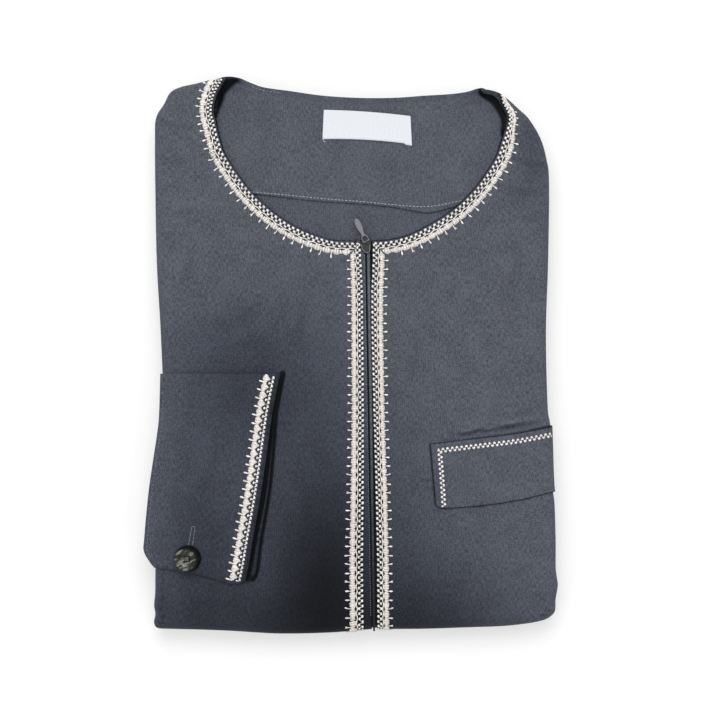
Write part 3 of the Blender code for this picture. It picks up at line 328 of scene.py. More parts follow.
# Layers at the packet's sides: height and inset at the sides, the hem fold and the shoulders
LAYER_RINGS = (
    ((0, 3.2), (0, 3.2), (0, 4.5)),
    ((1, 1.2), (0.9, 1.2), (1.6, 2)),
    ((4.1, 0.4), (3.4, 0.3), (4.2, 0.8)),
    ((7.3, 1.3), (5.2, 0.5), (6.4, 0.4)),
    ((8.3, 3.8), (6, 0.8), (7.8, 0.4)),
    ((9.3, 1.3), (6.6, 1.1), (9.2, 0.5)),
    ((12.4, 0.5), (7.2, 1.7), (11.4, 1)),
    ((15.6, 1.6), (7.7, 2.6), (13.2, 2.2)),
    ((16.6, 6.2), (8.3, 6.6), (14.4, 6.6)),
)
PACKET_INSET = 0.9
LAYER_LEVELS = 89
# Height of the deep gap between the two stacks, and the heap's hidden top: inset and height
MIDDLE_GAP = 8.3
TOP_INSET = 9.0
TOP_HEIGHT = 13.8
# Grooves between the thin layers, each also painted with shade: height, depth, how far it wanders,
# phase
GROOVES = (
    (1.9, 0.8, 0.35, 0.4), (4, 1.1, 0.5, 2.1), (6.2, 0.9, 0.45, 4), (10.3, 0.9, 0.4, 3.6),
    (12.4, 1.2, 0.5, 5.2), (14.5, 0.9, 0.4, 1.3),
)
GROOVE_WIDTH = 0.4


# ---- curves ----

def smooth(low, high, value):
    """Ease from 0 at low to 1 at high; low may be the greater."""
    share = np.clip((np.asarray(value, float) - low) / (high - low), 0.0, 1.0)
    return share * share * (3.0 - 2.0 * share)


def spline(rows, steps=10):
    """A dense smooth curve through the rows."""
    rows = np.array(rows, float)
    ends = np.vstack([2 * rows[0] - rows[1], rows, 2 * rows[-1] - rows[-2]])
    points = []
    for i in range(1, len(ends) - 2):
        before, start, stop, after = ends[i - 1:i + 3]
        for t in np.arange(steps) / steps:
            points.append(0.5 * (2 * start + (stop - before) * t
                                 + (2 * before - 5 * start + 4 * stop - after) * t ** 2
                                 + (3 * start - before - 3 * stop + after) * t ** 3))
    points.append(rows[-1])
    return np.array(points)


def swapped(rows):
    """Rows of (y, x) as rows of (x, y)."""
    return [(x, y) for y, x in rows]


def lengths(points):
    """Distance along the points, at each of them."""
    return np.concatenate([[0.0], np.cumsum(np.linalg.norm(np.diff(points, axis=0), axis=1))])


def along(points, distance, values=None):
    """Points of a curve, or values kept at its points, at distances along it."""
    run = lengths(points)
    kept = points if values is None else values
    return np.stack([np.interp(distance, run, column) for column in kept.T], axis=-1)


def at_shares(points, shares):
    """Points at shares of the curve's length."""
    return along(points, shares * lengths(points)[-1])


def unit(vectors):
    """The vectors, each of length one."""
    return vectors / np.linalg.norm(vectors, axis=-1)[..., None]


def left_normals(points):
    """Unit vectors to the left of the way the curve runs."""
    step = unit(np.gradient(points, axis=0))
    return np.stack([-step[:, 1], step[:, 0]], axis=-1)


def nearest(points, place):
    """Distance along the curve to its point nearest the place."""
    return lengths(points)[np.argmin(np.linalg.norm(points - np.array(place), axis=1))]


def spread(count, table):
    """count + 1 values that follow the table's spacing."""
    return np.interp(np.linspace(0, 1, count + 1), np.linspace(0, 1, len(table)), table)


def column_value(rows, y):
    """x at height y of a table of (y, x)."""
    curve = spline(rows)
    order = np.argsort(curve[:, 0])
    return np.interp(y, curve[order, 0], curve[order, 1])


def curve_y(curve, x):
    """y at x of a curve that runs from left to right."""
    return np.interp(x, curve[:, 0], curve[:, 1])


def zip_x(y):
    """The zip's centre line."""
    return ZIP_TOP_X + (ZIP_TOP_Y - np.asarray(y, float)) * ZIP_LEAN


NECK_EDGE = np.vstack([spline(LEFT_NECK), spline(RIGHT_NECK)[::-1]])
HEM_CURVE = spline(HEM_FOLD)
RIM_CURVE = spline(BACK_RIM)
FACING_CURVE = spline(FACING_LINE)


# ---- the lie of the cloth ----

def line_distance(x, y, line):
    """Distance from the nearest point of a dense line."""
    place = np.stack([np.asarray(x, float), np.asarray(y, float)], axis=-1)
    flat = place.reshape(-1, 2)
    near = [np.min(np.linalg.norm(part[:, None, :] - line, axis=-1), axis=-1)
            for part in np.array_split(flat, max(1, len(flat) // 4000))]
    return np.concatenate(near).reshape(place.shape[:-1])


def neck_distance(x, y):
    """Distance from the neck edge."""
    return line_distance(x, y, NECK_EDGE)


def turned(x, y, at_x, at_y, turn):
    """Place along and across a direction turned from +X."""
    cos, sin = math.cos(math.radians(turn)), math.sin(math.radians(turn))
    return (x - at_x) * cos + (y - at_y) * sin, (y - at_y) * cos - (x - at_x) * sin


def swell_height(x, y):
    """Sum of the broad swells and dips."""
    total = np.zeros(np.broadcast(x, y).shape)
    for at_x, at_y, length, width, turn, height in SWELLS:
        run, across = turned(x, y, at_x, at_y, turn)
        total = total + height * np.exp(-(run / length) ** 2 - (across / width) ** 2)
    return total


def crease_parts(x, y, creases):
    """Depth of the troughs, and height of the low shoulder beside each."""
    trough = np.zeros(np.broadcast(x, y).shape)
    shoulder = np.zeros(np.broadcast(x, y).shape)
    for at_x, at_y, length, width, turn, deep in creases:
        run, across = turned(x, y, at_x, at_y, turn)
        across = across - 0.012 * run ** 2
        fade = deep * np.exp(-(run / length) ** 2)
        trough = trough + fade * np.exp(-(across / width) ** 2)
        shoulder = shoulder + fade * np.exp(-((across - 1.7 * width) / (1.3 * width)) ** 2)
    return trough, shoulder


def crease_height(x, y, creases):
    """Soft troughs, each with a low shoulder on one side."""
    trough, shoulder = crease_parts(x, y, creases)
    return cloth_settings().crease_depth / MM * (0.55 * shoulder - trough)


def crease_tone(x, y, creases):
    """Less light down in the troughs, a little more on their shoulders."""
    trough, shoulder = crease_parts(x, y, creases)
    return 1 - 0.3 * trough + 0.1 * shoulder


def painted_shade_tone(x, y):
    """Painted shade from the broad patches, as strong as the panel's setting asks."""
    tone = np.ones(np.broadcast(x, y).shape)
    for at_x, at_y, across, along_y, lost in PAINTED_SHADE_PATCHES:
        tone = tone * (1 - lost * np.exp(-((x - at_x) / across) ** 2 - ((y - at_y) / along_y) ** 2))
    return 1 - cloth_settings().painted_shade_amount * (1 - tone)


def hollow_parts(x, y):
    """How deep each place lies in the hollows beside the neck, from 0 to 1."""
    shares = np.full(np.broadcast(x, y).shape, 9.0)
    for rows in HOLLOWS:
        for at_x, at_y, radius in spline(rows, 5):
            shares = np.minimum(shares, np.hypot(x - at_x, y - at_y) / radius)
    return 1 - smooth(0.6, 1.5, shares)


def past_contact_shadow(x, y, line, reach, core=0.0):
    """How far each place is past a painted contact shadow's line, as a share of the shadow's soft
    reach.
    """
    return (line_distance(x, y, line) - core) / (reach - core)


def front_height(x, y):
    """Outer face of the front: thicker at the zip and the neck, curled up at the shoulders."""
    x, y = np.asarray(x, float), np.asarray(y, float)
    away = neck_distance(x, y)
    at_zip = 1 - smooth(*ZIP_FACING, np.abs(x - zip_x(y) - 1.5))
    at_neck = 1 - smooth(*NECK_FACING, away)
    thick = FACING_RISE * np.maximum(at_zip, at_neck) + CORNER_RISE * at_zip * at_neck
    facing = FACING_RISE * at_neck * smooth(84, 108, y)
    curl = CURL_RISE * np.exp(-(away / CURL_REACH) ** 2) * smooth(*CURL_SPAN, y)
    creases = crease_height(x, y, CREASES)
    return FRONT_TOP + thick + facing + curl + swell_height(x, y) + creases


def back_height(x, y):
    """Upper face of the back seen through the neck: it sinks towards its rolled rim."""
    x, y = np.asarray(x, float), np.asarray(y, float)
    edge = curve_y(RIM_CURVE, x) - y
    ends = smooth(-62, -86, x) + smooth(68, 92, x)
    sunk = BACK_SINKS * smooth(84, 178, y)
    roll = RIM_ROLL * (1 - smooth(0, 6, edge))
    lift = RIM_LIFT * ends * (1 - smooth(0, 11, edge))
    hollow = HOLLOW_DEPTH * hollow_parts(x, y) * smooth(0.0, 4.0, edge)
    return BACK_TOP - sunk - roll + lift - hollow


def roll_width(x, y):
    """How far the front's rounded fold reaches in from its outermost line."""
    at_hem = smooth(-178, -188, y) * (1 - smooth(104, 130, np.abs(x)))
    at_neck = smooth(112, 100, np.abs(x)) * smooth(160, 172, y)
    return SIDE_ROLL + (HEM_ROLL - SIDE_ROLL) * at_hem - (SIDE_ROLL - NECK_ROLL) * at_neck


def hem_share(y):
    """How far the hem fold's section holds instead of the sides', from 0 to 1."""
    return smooth(-130, -184, y)


def top_share(y):
    """How far the shoulders' section holds instead of the sides', from 0 to 1."""
    return smooth(140, 172, y)


def split_height(y):
    """Height of the crease between the front's fold and the layers below."""
    return (SPLIT_SIDE + (SPLIT_HEM - SPLIT_SIDE) * hem_share(y)
            + (SPLIT_TOP - SPLIT_SIDE) * top_share(y))


def fold_foot(y):
    """Height at which the front's rounded fold ends, just above that crease."""
    return split_height(y) + 0.4


def hem_y(x):
    """The hem fold's place in y."""
    return curve_y(HEM_CURVE, x)


def zip_flat_end():
    """Where the zip leaves the flat front and begins to turn round the hem fold."""
    return float(hem_y(zip_x(ZIP_END_Y))) + HEM_ROLL


# ---- making pieces ----

def cloth_settings():
    """The cloth's sizes and colours, as set in the panel."""
    return bpy.context.scene.thobe_cloth


def trim_settings():
    """The trims' sizes and colours, as set in the panel."""
    return bpy.context.scene.thobe_trim


def grid_faces(rows, columns):
    """Quads of a grid of points."""
    corner = (np.arange(rows - 1)[:, None] * columns + np.arange(columns - 1)).ravel()
    return np.stack([corner, corner + columns, corner + columns + 1, corner + 1], axis=1)


def linked(name, data):
    """A new object in the scene."""
    made = bpy.data.objects.new(name, data)
    bpy.context.scene.collection.objects.link(made)
    return made


def make_piece(name, points, faces, material, up=True):
    """A smooth mesh object that rides the garment, its open side looking up."""
    mesh = bpy.data.meshes.new(name)
    mesh.from_pydata((np.asarray(points, float) * MM).tolist(), [], [list(map(int, f)) for f in faces])
    if up:
        work = bmesh.new()
        work.from_mesh(mesh)
        bmesh.ops.recalc_face_normals(work, faces=work.faces[:])
        if sum(face.normal.z * face.calc_area() for face in work.faces) < 0:
            bmesh.ops.reverse_faces(work, faces=work.faces[:])
        work.to_mesh(mesh)
        work.free()
    mesh.materials.append(material)
    mesh.shade_smooth()
    piece = linked(name, mesh)
    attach(piece, "garment")
    return piece


def lay_weave(piece, shade, edge=None):
    """Stores where each point lies in the cloth, its painted shade and its way past the nearest
    painted contact shadow.
    """
    mesh = piece.data
    count = len(mesh.vertices)
    places = np.zeros(count * 3)
    normals = np.zeros(count * 3)
    mesh.vertices.foreach_get("co", places)
    mesh.vertices.foreach_get("normal", normals)
    places, normals = places.reshape(-1, 3), normals.reshape(-1, 3)
    flat = places.copy()
    flat[:, :2] += normals[:, :2] * (FRONT_TOP * MM - places[:, 2:])
    flat[:, 2] = 0
    cloth = mesh.attributes.new("cloth", "FLOAT_VECTOR", "POINT")
    cloth.data.foreach_set("vector", flat.ravel())
    for name, given in (("shade", shade), ("edge", edge)):
        values = np.ones(count) if given is None else np.asarray(given, float).ravel()
        kept = mesh.attributes.new(name, "FLOAT", "POINT")
        kept.data.foreach_set("value", np.clip(values, -1.0, 4.0))


def add_wall(piece, wall, outward):
    """Gives an open sheet its thickness."""
    solid = piece.modifiers.new("wall", "SOLIDIFY")
    solid.thickness = wall * MM
    solid.offset = 1.0 if outward else -1.0
    solid.use_quality_normals = True


def cloth_sheet(name, points, faces, material, wall, shade, edge, outward=False):
    """A cloth piece: a smooth sheet with a weave and a wall."""
    piece = make_piece(name, points, faces, material)
    lay_weave(piece, shade, edge)
    add_wall(piece, wall, outward)
    return piece


def grid_sheet(name, grid, material, wall, shade=None, edge=None, outward=False):
    """A cloth sheet on a grid of points."""
    return cloth_sheet(name, grid.reshape(-1, 3), grid_faces(*grid.shape[:2]), material, wall,
                       shade, edge, outward)


def grid_normals(grid):
    """Unit normals at a grid's points, looking up."""
    normals = unit(np.cross(np.gradient(grid, axis=0), np.gradient(grid, axis=1)))
    return normals * np.sign(normals[..., 2:].sum())


def tree_of(points, faces):
    """A search tree on a sheet's outer face, in millimetres."""
    return BVHTree.FromPolygons([tuple(p) for p in points], [tuple(int(i) for i in f) for f in faces])


def drop(tree, x, y):
    """The surface's point and normal under (x, y), or the nearest ones past its edge."""
    hit, normal, _, _ = tree.ray_cast(Vector((x, y, 90.0)), Vector((0, 0, -1)))
    if hit is None:
        hit, normal, _, _ = tree.find_nearest(Vector((x, y, FRONT_TOP)))
    return np.array(hit), np.array(normal) * (1 if normal.z >= 0 else -1)


# ---- materials ----

def linear(colour):
    """A colour of 0 to 255 as linear values."""
    return [c / 255 / 12.92 if c < 11 else ((c / 255 + 0.055) / 1.055) ** 2.4 for c in colour]


def wire(tree, value, slot):
    """Joins a socket to an input, or sets the input to a plain value."""
    if isinstance(value, bpy.types.NodeSocket):
        tree.links.new(value, slot)
    else:
        slot.default_value = value


def set_inputs(node, values):
    """Sets a node's inputs by name."""
    for name, value in values.items():
        node.inputs[name].default_value = value


def math_node(tree, operation, *given):
    """A Math node with values or sockets for its inputs; gives its output."""
    node = tree.nodes.new("ShaderNodeMath")
    node.operation = operation
    for slot, value in zip(node.inputs, given):
        wire(tree, value, slot)
    return node.outputs[0]


def vector_node(tree, operation, first, second=(0.0, 0.0, 0.0)):
    """A Vector Math node on two vectors, or on a vector and a scale; gives its output."""
    node = tree.nodes.new("ShaderNodeVectorMath")
    node.operation = operation
    wire(tree, first, node.inputs[0])
    wire(tree, second, node.inputs["Scale" if operation == "SCALE" else 1])
    return node.outputs["Value" if operation == "LENGTH" else 0]


def streaks(tree, place, across, down, detail=2.0):
    """Noise drawn out along one thread direction."""
    noise = tree.nodes.new("ShaderNodeTexNoise")
    noise.noise_dimensions = "2D"
    set_inputs(noise, {"Scale": 1.0, "Detail": detail})
    wire(tree, vector_node(tree, "MULTIPLY", place, (across, down, 1.0)), noise.inputs["Vector"])
    return noise.outputs["Fac"]


def new_group(name, inputs, outputs):
    """A shader node group with named sockets: name, type, default."""
    group = bpy.data.node_groups.new(name, "ShaderNodeTree")
    for label, kind, default in inputs:
        socket = group.interface.new_socket(label, in_out="INPUT", socket_type=kind)
        socket.default_value = default
    for label, kind in outputs:
        group.interface.new_socket(label, in_out="OUTPUT", socket_type=kind)
    return group, group.nodes.new("NodeGroupInput"), group.nodes.new("NodeGroupOutput")


def weave_group():
    """Plain weave with heathered yarns: a tone for the colour and a height for the bump."""
    group = bpy.data.node_groups.get("plain weave")
    if group:
        return group
    group, given, made = new_group(
        "plain weave",
        (("Turn", "NodeSocketFloat", 0.0), ("Contrast", "NodeSocketFloat", 1.0)),
        (("Tone", "NodeSocketFloat"), ("Height", "NodeSocketFloat")))
    place = group.nodes.new("ShaderNodeAttribute")
    place.attribute_name = "cloth"
    turn = group.nodes.new("ShaderNodeVectorRotate")
    turn.rotation_type = "Z_AXIS"
    wire(group, place.outputs["Vector"], turn.inputs["Vector"])
    wire(group, given.outputs["Turn"], turn.inputs["Angle"])
    yarns = turn.outputs["Vector"]
    pitch = cloth_settings().yarn_pitch
    warp = streaks(group, yarns, 1.15 / pitch, 0.26 / pitch)
    weft = streaks(group, yarns, 0.32 / pitch, 1.15 / pitch)
    broad = streaks(group, yarns, 60.0, 50.0, 3.0)
    both = math_node(group, "ADD", math_node(group, "MULTIPLY", warp, 1.15),
                     math_node(group, "MULTIPLY", weft, 0.85))
    centred = math_node(group, "SUBTRACT", both, 1.0)
    soft = math_node(group, "MULTIPLY_ADD", math_node(group, "SUBTRACT", broad, 0.5), 0.32, centred)
    strong = math_node(group, "MULTIPLY", soft, given.outputs["Contrast"])
    tone = math_node(group, "MULTIPLY_ADD", strong, 2.0, 0.5)
    wire(group, tone, made.inputs["Tone"])
    wire(group, both, made.inputs["Height"])
    return group


def principled(name, values):
    """A material, its node tree and its shader with the given plain values."""
    material = bpy.data.materials.new(name)
    material.use_nodes = True
    shader = material.node_tree.nodes["Principled BSDF"]
    set_inputs(shader, values)
    return material, material.node_tree, shader


def mixed(tree, share, first, second):
    """A colour between two, by share."""
    mix = tree.nodes.new("ShaderNodeMix")
    mix.data_type = "RGBA"
    wire(tree, share, mix.inputs["Factor"])
    mix.inputs["A"].default_value = (*first, 1.0)
    mix.inputs["B"].default_value = (*second, 1.0)
    return mix.outputs["Result"]


def kept_value(tree, name):
    """A value kept at the mesh's points."""
    kept = tree.nodes.new("ShaderNodeAttribute")
    kept.attribute_name = name
    return kept.outputs["Fac"]


def eased(tree, value, low, high, at_low, at_high):
    """The value's smooth step from one level to another."""
    node = tree.nodes.new("ShaderNodeMapRange")
    node.interpolation_type = "SMOOTHSTEP"
    for slot, given in zip(node.inputs[1:5], (low, high, at_low, at_high)):
        slot.default_value = given
    wire(tree, value, node.inputs["Value"])
    return node.outputs["Result"]


def bump(tree, shader, height, strength, distance):
    """Fine relief from a height, on the shader's normal."""
    node = tree.nodes.new("ShaderNodeBump")
    set_inputs(node, {"Strength": strength, "Distance": distance})
    wire(tree, height, node.inputs["Height"])
    wire(tree, node.outputs["Normal"], shader.inputs["Normal"])


# The darkest and the lightest yarns, as shares of the cloth's colour
DARK_YARN = 0.66
LIGHT_YARN = 1.36
# The cloth's tint where it lies in full shade
SHADE_TINT = (0.86, 0.92, 1.1)
# Tone left in the painted contact shadows where one layer of cloth ends on another
SHADOW_LINE_TONE = 0.07


def cloth_material(name, colour, turn=0.0, contrast=1.0):
    """Heathered cloth, darkened by the painted shade and painted contact shadows kept at its points.
    """
    material, tree, shader = principled(name, {
        "Roughness": 0.84, "Sheen Weight": 0.04, "Sheen Roughness": 0.5, "Specular IOR Level": 0.12})
    weave = tree.nodes.new("ShaderNodeGroup")
    weave.node_tree = weave_group()
    set_inputs(weave, {"Turn": math.radians(turn), "Contrast": contrast})
    base = np.array(colour, float)
    mix = mixed(tree, weave.outputs["Tone"], tuple(base * DARK_YARN), tuple(base * LIGHT_YARN))
    line = eased(tree, kept_value(tree, "edge"), 0.0, 1.0, SHADOW_LINE_TONE, 1.0)
    share = math_node(tree, "MULTIPLY", kept_value(tree, "shade"), line)
    tint = mixed(tree, share, SHADE_TINT, (1.0, 1.0, 1.0))
    toned = vector_node(tree, "MULTIPLY", vector_node(tree, "SCALE", mix, share), tint)
    wire(tree, toned, shader.inputs["Base Color"])
    bump(tree, shader, weave.outputs["Height"], 0.5, 0.0002)
    return material


def thread_material(name, colour, roughness=0.55):
    """Twisted thread with a soft lustre."""
    material, tree, shader = principled(name, {"Roughness": roughness, "Sheen Weight": 0.2})
    place = tree.nodes.new("ShaderNodeTexCoord")
    grain = streaks(tree, place.outputs["Object"], 900.0, 900.0, 2.0)
    base = np.array(colour, float)
    mix = mixed(tree, grain, tuple(base * 0.78), tuple(np.minimum(base * 1.2, 0.95)))
    toned = vector_node(tree, "SCALE", mix, kept_value(tree, "shade"))
    wire(tree, toned, shader.inputs["Base Color"])
    bump(tree, shader, grain, 0.35, 0.0002)
    return material


def grained_material(name, values, grain, dark, light, relief):
    """A plain finish with fine grain in its colour and on its face."""
    material, tree, shader = principled(name, values)
    place = tree.nodes.new("ShaderNodeTexCoord")
    noise = streaks(tree, place.outputs["Object"], *grain)
    wire(tree, mixed(tree, noise, linear(dark), linear(light)), shader.inputs["Base Color"])
    bump(tree, shader, noise, relief, 0.0001)
    return material


def label_material():
    """Fine white satin weave."""
    return grained_material("white woven label", {"Roughness": 0.7}, (600.0, 1900.0, 2.0),
                            (184, 187, 190), (205, 208, 212), 0.3)


# Painted shade on the button, its turned rim and its well: shift of the centre, radius from and to,
# light at each
BUTTON_SHADES = (((-1.3, -0.5), 7.2, 8.0, 1.0, 0.04), ((0.5, 0.4), 1.4, 3.4, 0.25, 1.0))


def button_material():
    """Dark olive horn with a few light streaks, with painted shade round its well and where its rim
    turns away.
    """
    material, tree, shader = principled("marbled button",
                                        {"Roughness": 0.3, "Specular IOR Level": 0.1})
    place = tree.nodes.new("ShaderNodeTexCoord")
    turn = tree.nodes.new("ShaderNodeVectorRotate")
    turn.rotation_type = "Z_AXIS"
    turn.inputs["Angle"].default_value = math.radians(-27)
    wire(tree, place.outputs["Object"], turn.inputs["Vector"])
    cloud = streaks(tree, turn.outputs["Vector"], 120.0, 480.0, 3.0)
    ramp = tree.nodes.new("ShaderNodeValToRGB")
    stops = ramp.color_ramp.elements
    stops[0].position, stops[0].color = 0.44, (*linear((20, 22, 18)), 1)
    stops[1].position, stops[1].color = 0.64, (*linear((104, 106, 99)), 1)
    middle = stops.new(0.53)
    middle.color = (*linear((40, 42, 35)), 1)
    wire(tree, cloud, ramp.inputs["Fac"])
    centre = button_box()[2] * np.array([MM, MM, 0.0])
    share = None
    for shift, near, far, at_near, at_far in BUTTON_SHADES:
        away = vector_node(tree, "SUBTRACT", place.outputs["Object"],
                           centre + np.array([*shift, 0.0]) * MM)
        reach = vector_node(tree, "LENGTH", vector_node(tree, "MULTIPLY", away, (1.0, 1.0, 0.0)))
        part = eased(tree, reach, near * MM, far * MM, at_near, at_far)
        share = part if share is None else math_node(tree, "MULTIPLY", share, part)
    toned = vector_node(tree, "SCALE", ramp.outputs["Color"], share)
    wire(tree, toned, shader.inputs["Base Color"])
    wire(tree, math_node(tree, "MULTIPLY", share, 0.35), shader.inputs["Coat Weight"])
    return material


ENAMEL = {"Roughness": 0.36, "Metallic": 0.35}


def metal_material(name, dark, light):
    """Enamelled metal with a little wear along its grain."""
    return grained_material(name, ENAMEL, (1400.0, 500.0, 3.0), dark, light, 0.15)


def slider_material():
    """Enamel painted dark on the slider's low plate and lighter grey up on its bridge, as shade below
    and light above.
    """
    material, tree, shader = principled("dark enamel", ENAMEL)
    place = tree.nodes.new("ShaderNodeTexCoord")
    split = tree.nodes.new("ShaderNodeSeparateXYZ")
    wire(tree, place.outputs["Generated"], split.inputs[0])
    # Painted shade and light by height: darker down on the plate, lighter up on the bridge
    lit_by_height = math_node(tree, "MULTIPLY_ADD", split.outputs["Z"], 2.6, -0.8)
    lit_by_height.node.use_clamp = True
    wire(tree, mixed(tree, lit_by_height, linear((14, 14, 17)), linear((72, 71, 78))),
         shader.inputs["Base Color"])
    return material


MATERIALS = {}


def finishes():
    """All materials, made once."""
    if MATERIALS:
        return MATERIALS
    outer, inner = cloth_settings().outer_colour, cloth_settings().inner_colour
    MATERIALS["cloth"] = cloth_material("charcoal cloth", outer)
    MATERIALS["sleeve"] = cloth_material("charcoal cloth, sleeve", outer, turn=8.0)
    MATERIALS["inside"] = cloth_material("charcoal cloth, inside", inner, contrast=0.9)
    MATERIALS["thread"] = thread_material("ecru thread", trim_settings().thread_colour)
    MATERIALS["stitching"] = thread_material("grey sewing thread", linear((134, 137, 143)), 0.6)
    MATERIALS["label"] = label_material()
    # The tape is dark, and darker still to paint the shade of the slit it lies in
    MATERIALS["tape"] = cloth_material("zip tape in painted shade", linear((16, 17, 20)), contrast=0.6)
    MATERIALS["coil"] = cloth_material("grey zip coil", linear((86, 91, 96)), contrast=0.8)
    MATERIALS["button"] = button_material()
    MATERIALS["pull"] = metal_material("grey enamel", (62, 60, 67), (82, 80, 89))
    MATERIALS["slider"] = slider_material()
    # A pale colour painted as the highlight where the slider's rim catches the light
    MATERIALS["wire"] = metal_material("pale enamel, painted rim highlight", (112, 110, 118), (140, 138, 146))
    MATERIALS["button_thread"] = thread_material("dull button thread", linear((92, 84, 86)), 0.6)
    return MATERIALS


# ---- the fronts ----

# Spacing of the rows down the neck and the zip, and of the columns from the edge and to the fold
NECK_SPACING = (0.0, 0.055, 0.11, 0.2, 0.31, 0.42, 0.53, 0.64, 0.75, 0.87, 1.0)
ZIP_SPACING = (0.0, 0.11, 0.22, 0.33, 0.41, 0.45, 0.478, 0.506, 0.55, 0.66, 0.77, 0.87, 0.94, 1.0)
EDGE_STEPS = (0.0, 0.4, 0.9, 1.6, 2.6, 4.0, 5.6, 7.6, 10.0, 13.0, 16.5, 20.5, 25.0)
FOLD_STEPS = (18.0, 13.0, 9.0, 6.0, 3.6, 1.6, 0.0)
MIDDLE_COLUMNS = 100
NECK_ROWS = 84
ZIP_ROWS = 136
# Rows narrower than this have their edge steps squeezed; no row counts as narrower than the least
FULL_WIDTH = 75.0
LEAST_WIDTH = 34.0
# Share of the rows, and of each side fold, that lies beside the neck
NECK_SHARE = 0.42
SIDE_SHARE = {-1: 0.31, 1: 0.36}
EDGE_ROUNDING = 0.55
EDGE_REACH = 1.4


def trim_column(y, column):
    """A column of the zip trims' table, at heights y."""
    columns = list(zip(*ZIP_TRIMS[::-1]))
    return np.interp(y, columns[0], columns[column])


def trim_gap(y, side):
    """Distance of the zip's trim from the zip's line."""
    return trim_column(y, 1 if side < 0 else 3)


def trim_scale(y, side):
    """Width of the zip's trim, as a share of the neck's."""
    return trim_column(y, 2 if side < 0 else 4)


def lip_x(y, side):
    """Edge of a front at the zip."""
    if side < 0:
        return zip_x(y) + LIP_LEFT
    return zip_x(y) + trim_gap(y, side) - LIP_MARGIN


def neck_turn(y):
    """How far the front's edge reaches in past its trim."""
    return 0.7 + 0.7 * smooth(155, 170, y)


def front_folds(side):
    """Fold line of one front: shoulder, side and hem, from the neck to the zip."""
    if side < 0:
        rows = list(LEFT_SHOULDER) + swapped(LEFT_FOLD)
        hem = [row for row in HEM_FOLD if row[0] < 10] + [(float(lip_x(ZIP_END_Y, -1)), -192.5)]
    else:
        rows = list(RIGHT_SHOULDER) + swapped(RIGHT_FOLD)
        hem = [row for row in HEM_FOLD[::-1] if row[0] > 24] + [(float(lip_x(ZIP_END_Y, 1)), -192.4)]
    return spline(rows + hem, 8)


def blended_patch(u, v, left, right, top, low):
    """Points between four edges, u across and v down, all four met at the patch's sides."""
    return ((1 - u) * left + u * right + (1 - v) * top + v * low
            - (1 - u) * (1 - v) * left[0] - u * (1 - v) * right[0]
            - (1 - u) * v * left[-1] - u * v * right[-1])


def column_shares(width):
    """Places of a row's points, close together near both edges."""
    scale = min(1.0, width / FULL_WIDTH) / width
    first = np.array(EDGE_STEPS) * scale
    last = 1.0 - np.array(FOLD_STEPS) * scale
    return np.concatenate([first, np.linspace(first[-1], last[0], MIDDLE_COLUMNS)[1:-1], last])


